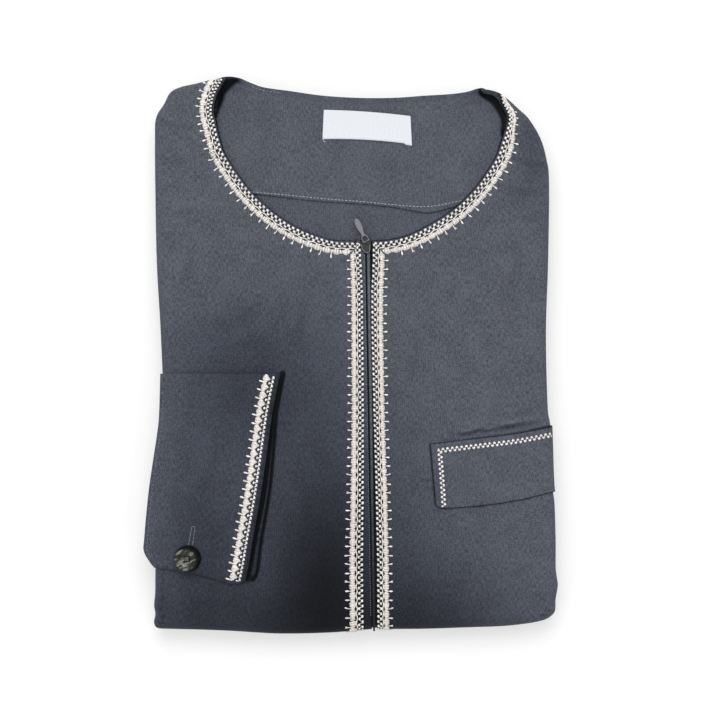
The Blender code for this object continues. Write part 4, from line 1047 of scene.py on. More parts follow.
def front_surface(side):
    """Points and faces of one front's outer face, with its rounded fold."""
    corner_top = LEFT_FOLD[0][::-1] if side < 0 else RIGHT_SHOULDER[1]
    corner_low = LEFT_FOLD[-1][::-1] if side < 0 else RIGHT_FOLD[-1][::-1]
    fold = front_folds(side)
    inner_fold = fold - side * left_normals(fold) * roll_width(fold[:, 0], fold[:, 1])[:, None]
    a_top, a_low, total = nearest(fold, corner_top), nearest(fold, corner_low), lengths(fold)[-1]

    def fold_at(distance):
        """Outermost and inner line of the fold at distances along it."""
        return along(fold, distance), along(fold, distance, inner_fold)

    edge = spline(NECKS[side])
    edge = edge - side * left_normals(edge) * neck_turn(edge[:, 1])[:, None]
    edge[-1] = float(lip_x(NECK_FOOT_Y, side)), NECK_FOOT_Y
    start = fold_at(np.array([0.0]))[1][0]
    stop = fold_at(np.array([total]))[1][0]
    edge = np.vstack([[start], edge[3:]])
    neck_rows, zip_rows = spread(NECK_ROWS, NECK_SPACING), spread(ZIP_ROWS, ZIP_SPACING)[1:]
    zip_y = np.linspace(NECK_FOOT_Y, stop[1], 60)
    zip_line = np.column_stack([lip_x(zip_y, side), zip_y])
    inner = np.vstack([at_shares(edge, neck_rows), at_shares(zip_line, zip_rows)])
    reach = a_low - a_top
    beside_neck = SIDE_SHARE[side]
    stations = np.concatenate([a_top + beside_neck * reach * neck_rows,
                               a_top + reach * (beside_neck + (1 - beside_neck) * zip_rows)])
    outer_out, outer_in = fold_at(stations)
    widths = np.maximum(np.linalg.norm(outer_in - inner, axis=1), LEAST_WIDTH)
    widths[0], widths[-1] = a_top, total - a_low
    across = np.array([column_shares(width) for width in widths])
    down = np.concatenate([NECK_SHARE * neck_rows, NECK_SHARE + (1 - NECK_SHARE) * zip_rows])
    top = fold_at(across * a_top)[1]
    low = fold_at(total - across * (total - a_low))[1]
    flat = blended_patch(across[..., None], down[:, None, None], inner[:, None], outer_in[:, None],
                         top, low)
    heights = front_height(flat[..., 0], flat[..., 1])
    from_edge = across * widths[:, None]
    heights = heights - EDGE_ROUNDING * (1 - smooth(0, EDGE_REACH, from_edge))
    patch = np.dstack([flat, heights])
    rows, columns = patch.shape[:2]
    chain = [(0, c) for c in range(columns)] + [(r, columns - 1) for r in range(1, rows)]
    chain += [(rows - 1, c) for c in range(columns - 2, -1, -1)]
    top_out = fold_at(across[0] * a_top)[0]
    low_out = fold_at(total - across[-1] * (total - a_low))[0]
    outs = np.vstack([top_out, outer_out[1:], low_out[:-1][::-1]])
    rim = np.array([patch[r, c] for r, c in chain])
    low_z = fold_foot(rim[:, 1])
    points, faces = [patch.reshape(-1, 3)], [grid_faces(rows, columns)]
    ring = np.array([r * columns + c for r, c in chain])
    for step in range(1, ROLL_RINGS + 1):
        angle = ROLL_END * step / ROLL_RINGS
        spot = rim[:, :2] + (outs - rim[:, :2]) * math.sin(angle)
        z = (rim[:, 2] + low_z) / 2 + (rim[:, 2] - low_z) / 2 * math.cos(angle)
        after = len(patch.reshape(-1, 3)) + (step - 1) * len(ring) + np.arange(len(ring))
        points.append(np.column_stack([spot, z]))
        faces.append(np.stack([ring[:-1], ring[1:], after[1:], after[:-1]], axis=1))
        ring = after
    return np.vstack(points), np.vstack(faces)


def under_rim():
    """The edge of the sleeve's lower layer, seen beyond the hand edge."""
    y = np.linspace(CUFF_TOP_Y, UNDER_FOOT + 1.6, 200)
    return np.column_stack([column_value(CUFF_HAND, y) + column_value(UNDER_SHOWS, y), y])


def neck_trim_edge(side):
    """Inner edge of the neck's trim, from the shoulder to the zip."""
    edge = spline(NECKS[side])
    if side > 0:
        edge = np.vstack([spline(RIGHT_TRIM), edge[edge[:, 1] < RIGHT_TRIM[-1][1] - 3.0]])
    stop_x = float(zip_x(79) + side * trim_gap(79, side))
    edge = edge[(side * edge[:, 0] > side * stop_x) & (edge[:, 1] < NECK_TRIM_TOP[side])]
    return even(np.vstack([edge, [stop_x, edge[-1, 1]]]))


def neck_outwards(side, edge):
    """Directions across the neck's trim: square to its edge, but level at the right shoulder."""
    way = side * left_normals(edge)
    if side > 0:
        level = smooth(150, 166, edge[:, 1])[:, None]
        way = way * (1 - level) + np.array([1.0, -0.15]) * level
    return unit(way)


def trim_bed(side, x, y):
    """Where the cloth lies in shade between the beads of the trims, from 0 to 1."""
    edge = neck_trim_edge(side)
    squeeze = shoulder_squeeze(edge[:, 1])[:, None] if side > 0 else 1.0
    middle = edge + neck_outwards(side, edge) * BED_MIDDLE * squeeze
    at_neck = 1 - smooth(BED_HALF - 0.3, BED_HALF + 0.5, line_distance(x, y, middle))
    from_zip = side * (x - zip_x(y)) - trim_gap(y, side)
    at_zip = 1 - smooth(BED_HALF - 0.3, BED_HALF + 0.5, np.abs(from_zip - BED_MIDDLE))
    return np.maximum(at_neck, at_zip * smooth(ZIP_TRIM_TOP + 0.5, ZIP_TRIM_TOP - 0.5, y))


def front_shade(side, points):
    """Painted shade on a front: the broad patches, the creases, the trims' bed, the lip at the
    shoulders and the fold turned under.
    """
    x, y, z = points.T
    tone = painted_shade_tone(x, y) * crease_tone(x, y, CREASES)
    tone = tone * (1 - TRIM_BED * trim_bed(side, x, y))
    reach = LIP_REACH[side]
    lip = (1 - smooth(reach - 0.8, reach + 0.4, neck_distance(x, y))) * smooth(152, 172, y)
    tone = tone * (1 - LIP_SHADE * lip)
    # Painted shade on the fold where it turns under towards the layers below
    under = 1 - smooth(split_height(y) + 1.0, FRONT_TOP - 6.0, z)
    return tone * (1 - 0.5 * under)


def front_contact_shadows(side, points):
    """Painted contact shadows on a front: beside the sleeve's lower layer, or round the pocket."""
    x, y, _ = points.T
    if side < 0:
        return past_contact_shadow(x, y, under_rim(), 3.0, 1.5)
    mouth, seam = spline(POCKET_MOUTH), spline(POCKET_SEAM)
    left = np.linspace(mouth[0], seam[0], 80)
    reach = 1.4 + 0.9 * smooth(96, 136, x) * smooth(-90, -70, y)
    return 0.12 + 0.88 * past_contact_shadow(x, y, np.vstack([mouth, left, seam]), reach)


SURFACES = {}


def surface(name):
    """Points, faces and search tree of a named outer face, worked out once."""
    if name not in SURFACES:
        makers = {FRONT_NAMES[-1]: lambda: front_surface(-1), FRONT_NAMES[1]: lambda: front_surface(1),
                  "cuff": cuff_surface, "facing": facing_surface}
        points, faces = makers[name]()
        SURFACES[name] = (points, faces, tree_of(points, faces))
    return SURFACES[name]


# ---- stitches ----

# A stitch: rings along it (share of length, share of radius), each with six sides
STITCH_RINGS = ((0.08, 0.7), (0.5, 1.0), (0.92, 0.7))
STITCH_SIDES = 6
TRIM_WIDTH = 8.1
THREAD_VARIES = 0.18
# Satin stitches in one scallop, and chain stitches between two picots
FANS = 9
LINKS = 4
# Lengths of the neck's trim without picots: at each shoulder, and beside the zip
PLAIN_START = {-1: 0.0, 1: 13.0}
PLAIN_END = 13.5
# How far the zip's trim runs on round the hem fold
TURN_LENGTH = 17.0
TURN_ANGLE = math.radians(115)
# How far the neck's trim bends round a shoulder fold at most, in radians
MOST_BEND = 1.45


def stitch_template():
    """Points (along, across, up) and faces of one thread stitch."""
    points = [(0.0, 0.0, 0.0)]
    for share, radius in STITCH_RINGS:
        for k in range(STITCH_SIDES):
            angle = math.tau * k / STITCH_SIDES
            points.append((share, radius * math.cos(angle), radius * math.sin(angle)))
    points.append((1.0, 0.0, 0.0))
    faces, last = [], len(points) - 1
    for k in range(STITCH_SIDES):
        after = (k + 1) % STITCH_SIDES
        faces.append((0, 1 + after, 1 + k, 1 + k))
        for ring in range(len(STITCH_RINGS) - 1):
            low = 1 + ring * STITCH_SIDES
            high = low + STITCH_SIDES
            faces.append((low + k, low + after, high + after, high + k))
        top = 1 + (len(STITCH_RINGS) - 1) * STITCH_SIDES
        faces.append((top + k, top + after, last, last))
    return np.array(points), faces


def stitch_mesh(name, stitches, material):
    """One mesh of many stitches: rows of (start, stop, normal, width, height)."""
    template, faces = stitch_template()
    start, stop, up, width, height = (np.array(column) for column in zip(*stitches))
    width, height = width[:, None, None], height[:, None, None]
    way = stop - start
    side = unit(np.cross(up, way))
    up = unit(np.cross(way, side))
    t = template[None]
    points = (start[:, None] + way[:, None] * t[..., 0:1] + side[:, None] * t[..., 1:2] * width / 2
              + up[:, None] * (t[..., 2:3] * height / 2 + height * 0.35))
    faces = [list(dict.fromkeys(face)) for face in faces]
    all_faces = [[k * len(template) + c for c in face] for k in range(len(stitches)) for face in faces]
    piece = make_piece(name, points.reshape(-1, 3), all_faces, material, up=False)
    tones = [1 + jitter(k, THREAD_VARIES, 6.0) for k in range(len(stitches))]
    shade = piece.data.attributes.new("shade", "FLOAT", "POINT")
    shade.data.foreach_set("value", np.repeat(tones, len(template)))
    return piece


def jitter(index, amount, seed=0.0):
    """A repeatable small variation."""
    return amount * math.sin((index * 12.9898 + seed * 78.233) % 97.0 * 43.7 + 1.7)


class Sewing:
    """Collects the stitches of a trim: s along its edge, t away from it."""

    def __init__(self, place, length, mitre_start=0.0, mitre_stop=0.0):
        self.place = place
        self.length = length
        self.mitres = (mitre_start, mitre_stop)
        self.rows = []

    def sew(self, s0, t0, s1, t1, thick, high):
        """One stitch, cut short at the mitred ends."""
        start, stop = self.mitres
        inside = (s0 - start * t0, s1 - start * t1), (self.length - s0 - stop * t0,
                                                      self.length - s1 - stop * t1)
        low, high_end = 0.0, 1.0
        for first, second in inside:
            if first <= 0 and second <= 0:
                return
            if first < 0:
                low = max(low, first / (first - second))
            if second < 0:
                high_end = min(high_end, first / (first - second))
        a, normal_a = self.place(s0 + (s1 - s0) * low, t0 + (t1 - t0) * low)
        b, normal_b = self.place(s0 + (s1 - s0) * high_end, t0 + (t1 - t0) * high_end)
        if np.linalg.norm(b - a) > 0.4 * thick:
            self.rows.append((a, b, normal_a + normal_b, thick, high))

    def steps(self, pitch):
        """A whole number of steps close to the pitch."""
        count = max(1, int(round(self.length / pitch)))
        return count, self.length / count


# A picot's end: start back from its tip, shift along the edge, stop past the tip, thick, high
PICOT_KNOB = ((2.3, 0.0, 0.2, 1.3, 1.15),)
PICOT_ENDS = {1: ((2.0, -0.6, 0.2, 1.05, 1.0),),
              3: ((2.0, -0.8, -0.2, 0.7, 0.7), (2.0, 0.4, 0.0, 0.8, 0.8))}


def sew_picot(sewing, s, base, tip, k):
    """A picot: a thin bar with a knob, a bent end or a small fork."""
    sway = jitter(k, 0.35, 4.0)
    bend = s + sway * 0.5
    sewing.sew(s, base, bend, tip - 1.4, 0.7, 0.7)
    for start, shift, stop, thick, high in PICOT_ENDS.get(k % 5, PICOT_KNOB):
        sewing.sew(bend, tip - start, s + sway + shift, tip + stop, thick, high)


def trim_stitches(sewing, plain_start=0.0, plain_end=0.0):
    """The broad trim: two rows of beads, a chain, satin fans and picots."""
    settings = trim_settings()
    dots, step = sewing.steps(settings.dot_pitch / MM)
    for k in range(dots):
        s = (k + 0.5) * step
        wander = jitter(k, 0.12)
        sewing.sew(s + 0.2, 1.2, s + step / 2 - 0.1, 2.5, 0.5, 0.4)
        sewing.sew(s - 0.4, 1.5, s - step / 2 + 0.5, 2.4, 0.35, 0.3)
        sewing.sew(s - 1.1, 0.62 + wander, s + 0.95, 0.95 + wander, 1.65, 1.35)
        sewing.sew(s + step / 2 - 1.0, 2.6 - wander, s + step / 2 + 0.9, 2.95 - wander, 1.45, 1.15)
    count, step = sewing.steps(settings.picot_pitch / MM)
    for k in range(count * LINKS):
        s = k * step / LINKS
        wave = 0.4 * math.cos(math.tau * s / step)
        wave_after = 0.4 * math.cos(math.tau * (s / step + 1 / LINKS))
        sewing.sew(s - 0.15, 4.2 - wave, s + step / LINKS + 0.15, 4.2 - wave_after, 0.85, 0.65)
    for k in range(count * FANS):
        s = (k + 0.5) * step / FANS
        cell = s / step % 1.0
        inner = 4.4 + 0.9 * math.cos(math.pi * cell) ** 2
        outer = TRIM_WIDTH - 0.5 + 1.3 * math.sin(math.pi * cell) + jitter(k, 0.2, 1.0)
        lean = cell - 0.5
        sewing.sew(s - lean * 0.4 + jitter(k, 0.15), inner, s + lean * 0.3, outer,
                   0.78, 1.0 + jitter(k, 0.3, 2.0))
    for k in range(1, count + 1):
        if plain_start < k * step < sewing.length - plain_end:
            tip = TRIM_WIDTH + 3.3 + jitter(k, 0.3, 3.0)
            sew_picot(sewing, k * step, TRIM_WIDTH - 1.0, tip, k)
    return sewing.rows


def cuff_stitches(sewing):
    """The cuff's trim: one row of beads, rings round a bead, satin fans and thick picots."""
    count, step = sewing.steps(trim_settings().picot_pitch / MM * 0.95)
    for k in range(count * 2):
        s = (k + 0.5) * step / 2
        sewing.sew(s - 1.1, 1.35, s + 0.9, 0.6, 1.6, 1.2)
        sewing.sew(s + 0.1, 0.9, s + 1.6, 2.0, 0.8, 0.6)
    for k in range(count):
        middle = (k + 1) * step
        sewing.sew(middle - 1.0, 3.0, middle + 0.8, 3.3, 1.35, 1.0)
        sewing.sew(middle - 0.5, 1.8, middle + 0.1, 3.2, 0.7, 0.6)
    for k in range(count * FANS):
        s = (k + 0.5) * step / FANS
        cell = s / step % 1.0
        inner = 2.6 + 2.4 * abs(math.cos(math.pi * cell)) ** 1.4
        outer = 6.6 + 1.9 * math.sin(math.pi * cell) ** 0.7 + jitter(k, 0.15, 1.0)
        lean = cell - 0.5
        sewing.sew(s - lean * 0.6, inner, s + lean * 0.3, outer, 0.8, 1.0 + jitter(k, 0.3, 2.0))
    for k in range(1, count + 1):
        tip = 10.8 + jitter(k, 0.3, 3.0)
        sewing.sew(k * step, 6.2, k * step - 0.3, tip - 1.6, 0.95, 0.9)
        sewing.sew(k * step - 0.2, tip - 3.2, k * step - 0.6, tip, 1.35, 1.1)
    return sewing.rows


def curve_place(edge, outwards, tree, lead=0.0, squeeze=None, keep=None, slope=None):
    """place(s, t) on a surface, s along an edge and t to its outer side; and the edge's length.

    The slope is how much longer the cloth's edge is than it looks from above.
    """
    run = lengths(edge)
    if slope:
        steps = np.diff(run) * slope(edge[:-1, 1])
        run = np.concatenate([[0.0], np.cumsum(steps)])

    def place(s, t):
        """The point and normal at s along the edge and t outwards."""
        index = np.interp(s + lead, run, np.arange(len(run)))
        low = min(int(index), len(run) - 2)
        part = index - low
        spot = edge[low] * (1 - part) + edge[low + 1] * part
        way = outwards[low] * (1 - part) + outwards[low + 1] * part
        share = squeeze(spot[1]) if squeeze else 1.0
        spot = spot + way / np.linalg.norm(way) * t * share
        if keep:
            spot = keep(spot)
        return drop(tree, *spot)

    return place, run[-1]


def even(curve):
    """The curve with evenly spaced points, about a millimetre apart."""
    total = lengths(curve)[-1]
    return along(curve, np.linspace(0, total, int(total) + 1))


# Share of its width that the right trim shows at the shoulder (y, share)
SHOULDER_WIDTHS = ((147.0, 1.0), (152.0, 0.89), (160.0, 0.58), (167.0, 0.56), (174.0, 0.6),
                   (177.0, 0.45), (181.0, 0.3), (184.0, 0.2))


def shoulder_squeeze(y):
    """The right trim tips towards the neck at the shoulder, so it looks narrower there."""
    return np.interp(y, *zip(*SHOULDER_WIDTHS))


def shoulder_slope(y):
    """The trim runs down over the shoulders, so its edge is longer there than it looks."""
    return 1.0 + 0.45 * smooth(156, 170, y)


def neck_trim(side):
    """Trim along one side of the neck edge, from the shoulder to the zip."""
    tree = surface(FRONT_NAMES[side])[2]
    edge = neck_trim_edge(side)
    fold = front_folds(side)
    fold_out = side * left_normals(fold)

    def keep(spot):
        """The place, brought back onto the cloth where the trim runs over the fold."""
        near = np.argmin(np.linalg.norm(fold - spot, axis=1))
        past = SIDE_ROLL + float(np.dot(spot - fold[near], fold_out[near]))
        if past <= 0:
            return spot
        bent = SIDE_ROLL * math.sin(min(past / SIDE_ROLL, MOST_BEND))
        return spot - fold_out[near] * (past - bent)

    squeeze = shoulder_squeeze if side > 0 else None
    place, length = curve_place(edge, neck_outwards(side, edge), tree, squeeze=squeeze, keep=keep,
                                slope=shoulder_slope)
    return trim_stitches(Sewing(place, length, mitre_stop=1.0), PLAIN_START[side], PLAIN_END)


def zip_trim(side):
    """Trim along one side of the zip, from its mitre with the neck trim round the hem fold."""
    tree = surface(FRONT_NAMES[side])[2]
    flat_end = zip_flat_end()
    flat = ZIP_TRIM_TOP - flat_end

    def place(s, t):
        """The point and normal at s down the zip and t away from it."""
        y = max(ZIP_TRIM_TOP - s, flat_end)
        offset = side * (float(trim_gap(y, side)) + t * float(trim_scale(y, side)))
        if s <= flat:
            return drop(tree, float(zip_x(y)) + offset, y)
        x = float(zip_x(flat_end)) + offset
        angle = (s - flat) / TURN_LENGTH * TURN_ANGLE
        low = float(fold_foot(HEM_FOOT_Y))
        middle = (float(front_height(x, flat_end)) + low) / 2
        centre = Vector((x, float(hem_y(x)) + HEM_ROLL, middle))
        out = Vector((0, -math.sin(angle), math.cos(angle)))
        hit, _, _, _ = tree.ray_cast(centre + out * 40, -out)
        return np.array(hit), np.array(out)

    return trim_stitches(Sewing(place, flat + TURN_LENGTH, mitre_start=1.0))


def cuff_trim():
    """Trim along the cuff's hand edge."""
    edge = spline(swapped(CUFF_HAND))
    inwards = -left_normals(edge)
    edge = even(edge + inwards * CUFF_MARGIN)
    place, length = curve_place(edge, -left_normals(edge), surface("cuff")[2], lead=CUFF_LEAD)
    return cuff_stitches(Sewing(place, length - CUFF_SHORT))


def running_stitches(curve, tree, pitch, dash, thick):
    """Even dashes of thread along a curve of (x, y)."""
    curve = np.array(curve, float)
    rows = []
    for k in range(int(lengths(curve)[-1] / pitch)):
        start, normal = drop(tree, *along(curve, k * pitch))
        stop, _ = drop(tree, *along(curve, k * pitch + dash))
        rows.append((start, stop, normal, thick, thick * 0.8))
    return rows


# ---- back, facing and label ----

# The back's columns, from x to x, and its rows on the facing, with their spacing, and below it
BACK_SPAN = (-101, 114)
BACK_COLUMNS = 250
FACING_LEVELS = 81
FACING_SPACING = (0, 0.03, 0.07, 0.13, 0.24, 0.36, 0.5, 0.66, 0.83, 1)
BELOW_FACING = 26
LABEL_ROWS = 15
LABEL_COLUMNS = 80
# Shares of the label's length at which it is sewn down, and the thread tail's bends (x, y)
LABEL_SEAMS = (0.022, 0.978)
LABEL_TAIL = ((0.2, -0.9), (0.7, -0.9), (1.0, -0.3))


def back_grid():
    """Points of the back inside the neck, from the rim to below the front's edge."""
    lower = NECK_EDGE[np.argsort(NECK_EDGE[:, 0])]
    levels = spread(FACING_LEVELS - 1, FACING_SPACING)
    below = np.linspace(0, 1, BELOW_FACING) ** 1.5
    rows = []
    for x in np.linspace(*BACK_SPAN, BACK_COLUMNS):
        rim = curve_y(RIM_CURVE, x)
        near = lower[np.abs(lower[:, 0] - x) < 6.5]
        foot = (near[:, 1].min() if len(near) else 160.0) - 4.5
        foot = min(foot, rim - 14.0)
        line = max(curve_y(FACING_CURVE, x), foot + 2.0)
        y = np.concatenate([rim - (rim - line) * levels, line + (foot - line) * below[1:]])
        rows.append(np.column_stack([np.full(len(y), x), y, back_height(np.full(len(y), x), y)]))
    return np.array(rows).transpose(1, 0, 2)


def facing_surface():
    """Outer face of the facing: the back's points, raised by their gap and the facing's wall."""
    grid = back_grid()
    grid = (grid + grid_normals(grid) * (GAP + BACK_WALL))[:FACING_LEVELS]
    return grid.reshape(-1, 3), grid_faces(*grid.shape[:2])


def back_shade(x, y):
    """Painted shade on the back: dark in the hollows, and dimmer along its rolled rim."""
    rim = curve_y(RIM_CURVE, x) - y
    # Painted shade along the rolled rim, stronger beside the shoulders
    dull = 0.14 + 0.35 * (smooth(-72, -80, x) + smooth(82, 90, x))
    tone = 1 - dull * (1 - smooth(3.2, 5.6, rim))
    return tone * (1 - 0.97 * hollow_parts(x, y))


def back_contact_shadow(x, y):
    """The painted contact shadow on the back along the front's edge."""
    return (neck_distance(x, y) - neck_turn(y) - 0.2) / 1.3


def make_back():
    """The back's inside, its facing and the topstitching on it."""
    use = finishes()
    grid = back_grid()
    x, y = grid[..., 0], grid[..., 1]
    # Painted contact shadows along the front's edge and below the facing's seam; the back a little
    # darker than the facing
    edge = np.minimum(back_contact_shadow(x, y), 0.3 + 0.7 * past_contact_shadow(x, y, FACING_CURVE, 0.8))
    back = grid_sheet("back_cloth", grid, use["inside"], BACK_WALL,
                      shade=back_shade(x, y) * 0.93, edge=edge)
    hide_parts("back_inside")
    points, faces, tree = surface("facing")
    x, y = points[:, 0], points[:, 1]
    facing = cloth_sheet("back_facing_cloth", points, faces, use["inside"], BACK_WALL,
                         shade=back_shade(x, y), edge=back_contact_shadow(x, y))
    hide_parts("back_neck_facing")
    rim = RIM_CURVE - np.array([0.0, 2.2])
    rim = rim[(rim[:, 0] > -70) & (rim[:, 0] < -46)]
    rows = running_stitches(spline(FACING_SEAM), tree, pitch=2.5, dash=1.8, thick=0.75)
    rows += running_stitches(rim, tree, pitch=2.6, dash=1.5, thick=0.45)
    stitches = stitch_mesh("facing_topstitching", rows, use["stitching"])


def make_label():
    """Plain woven label, bowed between its stitched ends, with a thread tail."""
    use = finishes()
    tree = surface("facing")[2]
    upper_left, upper_right, lower_right, lower_left = (np.array(c) for c in LABEL_CORNERS)

    def ends_of(u):
        """Upper and lower end of the label's line at share u of its length."""
        return (1 - u) * upper_left + u * upper_right, (1 - u) * lower_left + u * lower_right

    grid = []
    for v in np.linspace(0, 1, LABEL_ROWS):
        row = []
        for u in np.linspace(0, 1, LABEL_COLUMNS):
            top, low = ends_of(u)
            dip = 0.9 * v * float(smooth(0.915, 0.93, u))
            hanging = (0.85 + 0.5 * v) * math.sin(math.pi * u) ** 0.8 - dip
            flat = (1 - v) * top + v * low + np.array([0.0, hanging])
            hit, _ = drop(tree, *flat)
            bow = 0.55 * math.sin(math.pi * u) + 0.12 * math.sin(9 * u) * (1 - v)
            ends = 0.25 * (smooth(0.035, 0.0, u) + smooth(0.965, 1.0, u))
            row.append((flat[0], flat[1], hit[2] + 0.3 + bow + float(ends)))
        grid.append(row)
    label = grid_sheet("woven_label", np.array(grid), use["label"], LABEL_WALL, outward=True)
    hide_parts("neck_label")
    label_tree = tree_of(np.array(grid).reshape(-1, 3), grid_faces(LABEL_ROWS, LABEL_COLUMNS))
    rows = []
    for u in LABEL_SEAMS:
        rows += running_stitches(ends_of(u), label_tree, pitch=1.9, dash=1.3, thick=0.34)
    tail = lower_left + np.array([0.4, 0.2])
    for step in LABEL_TAIL:
        after = tail + np.array(step)
        start, normal = drop(tree, *tail)
        rows.append((start + normal * 0.3, drop(tree, *after)[0] + normal * 0.3, normal, 0.45, 0.4))
        tail = after
    stitches = stitch_mesh("label_stitching", rows, use["label"])


# ---- hidden layers ----

def packet_outline():
    """The packet's outline as one closed curve, from the middle of the left side."""
    left = swapped(LEFT_FOLD)
    rows = left[6::-1] + list(LEFT_SHOULDER[::-1])
    rows += list(BEHIND_NECK) + list(RIGHT_SHOULDER)
    rows += swapped(RIGHT_FOLD) + list(HEM_FOLD[::-1]) + left[:6:-1]
    rows.append(left[6])
    curve = spline(rows, 8)
    total = lengths(curve)[-1]
    return along(curve, np.linspace(0, total, 520))[:-1]


def make_layers():
    """All hidden layers as one rounded heap of folds."""
    use = finishes()
    outline = packet_outline()
    count = len(outline)
    wrapped = np.vstack([outline[-2:], outline, outline[:2]])
    normals = left_normals(wrapped)[2:-2]
    hem, top = hem_share(outline[:, 1]), top_share(outline[:, 1])
    around = np.arange(count) / count * math.tau
    sides, low, high = np.moveaxis(np.array(LAYER_RINGS), 1, 0)[..., None]
    heights, insets = np.moveaxis(sides + (low - sides) * hem + (high - sides) * top, 1, 0)
    rings, shades = [], []
    for level in np.linspace(0, len(sides) - 1, LAYER_LEVELS):
        low = min(int(level), len(sides) - 2)
        part = level - low
        ease = part * part * (3 - 2 * part)
        height = heights[low] * (1 - part) + heights[low + 1] * part
        inset = insets[low] * (1 - ease) + insets[low + 1] * ease
        nominal = np.interp(level, np.arange(len(sides)), sides[:, 0, 0])
        # Painted shade in the grooves and in the deep gap between the stacks; the hidden top ring
        # painted dark too
        dark = np.ones(count)
        for at, deep, wander, phase in GROOVES:
            swing = np.sin(around * 5 + phase) + 0.4 * np.sin(around * 13 + phase)
            centre = at + wander * swing
            fade = 0.55 + 0.45 * np.sin(around * 3 + phase * 2)
            cut = fade * np.exp(-((nominal - centre) / GROOVE_WIDTH) ** 2)
            inset = inset + deep * cut
            dark = dark * (1 - 0.75 * cut)
        shades.append(dark * (1 - 0.6 * np.exp(-((nominal - MIDDLE_GAP) / 0.8) ** 2)))
        ring = outline + normals * -(inset + PACKET_INSET)[:, None]
        rings.append(np.column_stack([ring, height]))
    inner = outline - normals * TOP_INSET
    rings.append(np.column_stack([inner, np.full(count, TOP_HEIGHT)]))
    shades.append(np.full(count, 0.3))
    points = np.vstack(rings)
    faces = [list(range(count))]
    for r in range(len(rings) - 1):
        here = r * count + np.arange(count)
        there = r * count + (np.arange(count) + 1) % count
        faces += np.stack([here, here + count, there + count, there], axis=1).tolist()
    last = (len(rings) - 1) * count
    faces.append([last + i for i in range(count)])
    layers = make_piece("folded_cloth_layers", points, faces, use["cloth"])
    lay_weave(layers, np.array(shades) * 0.92)
    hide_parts("folded_layers")


# ---- fronts, sleeve and pocket ----

def make_fronts():
    """Both fronts, with their folds, painted shade and painted contact shadows."""
    use = finishes()
    for side, flat in ((-1, (0.165, 0.40)), (1, (0.15, 0.39))):
        name = FRONT_NAMES[side]
        points, faces, _ = surface(name)
        piece = cloth_sheet(name + "_cloth", points, faces, use["cloth"], FRONT_WALL,
                            shade=front_shade(side, points), edge=front_contact_shadows(side, points))
        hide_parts(name)


def cuff_bottom(x, y):
    """Lower face of the cuff's upper layer, blown up towards its hand edge."""
    lower = np.interp(x, *zip(*CUFF_LOWER))
    base = FRONT_TOP + swell_height(np.maximum(x, -127.0), y) + 1.95
    lift = CUFF_LIFT * smooth(-130, -72, x) * smooth(0, 14, CUFF_TOP_Y - y) * smooth(0, 12, y - lower)
    droop = 1.2 * smooth(-127, -145, x)
    return base + lift - droop


# Spacing of the cuff's rows and columns, close together near its edges
CUFF_ROWS = np.concatenate([[0, 0.006, 0.015, 0.03], np.linspace(0.05, 0.93, 84),
                            [0.95, 0.965, 0.975, 0.982, 0.988, 0.993, 0.997, 1]])
CUFF_COLUMNS = np.concatenate([[0, 0.008, 0.02, 0.04], np.linspace(0.07, 0.93, 54),
                               [0.955, 0.975, 0.99, 1]])
# Creases of the cuff, as those of the front
CUFF_CREASES = (
    (-112, -40, 26, 3.4, 80, 0.35),
    (-96, -78, 24, 3.2, 72, 0.35),
    (-122, -104, 22, 2.8, 84, 0.30),
    (-92, -124, 16, 2.6, 30, 0.35),
    (-104, -140, 12, 2.2, 12, 0.30),
)


def cuff_surface():
    """Outer face of the cuff's upper layer, its lower edge rolled down to the front."""
    sleeve, hand, lower = spline(swapped(CUFF_SLEEVE)), spline(swapped(CUFF_HAND)), spline(CUFF_LOWER)
    left, right = at_shares(sleeve, CUFF_ROWS)[:, None], at_shares(hand, CUFF_ROWS)[:, None]
    low = at_shares(lower, CUFF_COLUMNS)[None]
    u, v = CUFF_COLUMNS[None, :, None], CUFF_ROWS[:, None, None]
    top = left[0][None] * (1 - u) + right[0][None] * u
    flat = blended_patch(u, v, left, right, top, low)
    x, y = flat[..., 0], flat[..., 1]
    z = cuff_bottom(x, y) + CUFF_WALL + crease_height(x, y, CUFF_CREASES)
    edge = np.minimum(np.minimum(u[..., 0], 1 - u[..., 0]) * 80, v[..., 0] * 140)
    z = z - 0.5 * (1 - smooth(0, 1.3, edge))
    from_low = np.clip((1 - v[..., 0]) * 145 / 3.4, 0, 1)
    z = z - 3.0 * (1 - np.sqrt(1 - (1 - from_low) ** 2))
    grid = np.dstack([flat, z])
    return grid.reshape(-1, 3), grid_faces(*grid.shape[:2])


def make_cuff(use):
    """The upper layer of the sleeve's flattened end."""
    points, faces, _ = surface("cuff")
    x, y = points[:, 0], points[:, 1]
    hand = line_distance(x, y, spline(swapped(CUFF_HAND)))
    # Painted shade on the margin between the trim and the hand edge, a painted shadow round the button
    # and a painted contact shadow along the lower edge
    margin_shade = smooth(CUFF_MARGIN + 0.8, CUFF_MARGIN - 0.4, hand)
    tone = painted_shade_tone(x, y) * crease_tone(x, y, CUFF_CREASES) * (1 - 0.45 * margin_shade)
    centre = button_box()[2]
    from_button = np.hypot(x - centre[0] - BUTTON_SHADOW_SHIFT[0], y - centre[1] - BUTTON_SHADOW_SHIFT[1])
    lower = 0.55 + 0.45 * past_contact_shadow(x, y, spline(CUFF_LOWER), 1.2)
    edge = np.minimum((from_button - BUTTON_SHADOW_RING[0]) / BUTTON_SHADOW_RING[1], lower)
    upper = cloth_sheet("cuff_upper_cloth", points, faces, use["sleeve"], CUFF_WALL, tone, edge)
    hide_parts("cuff_upper")


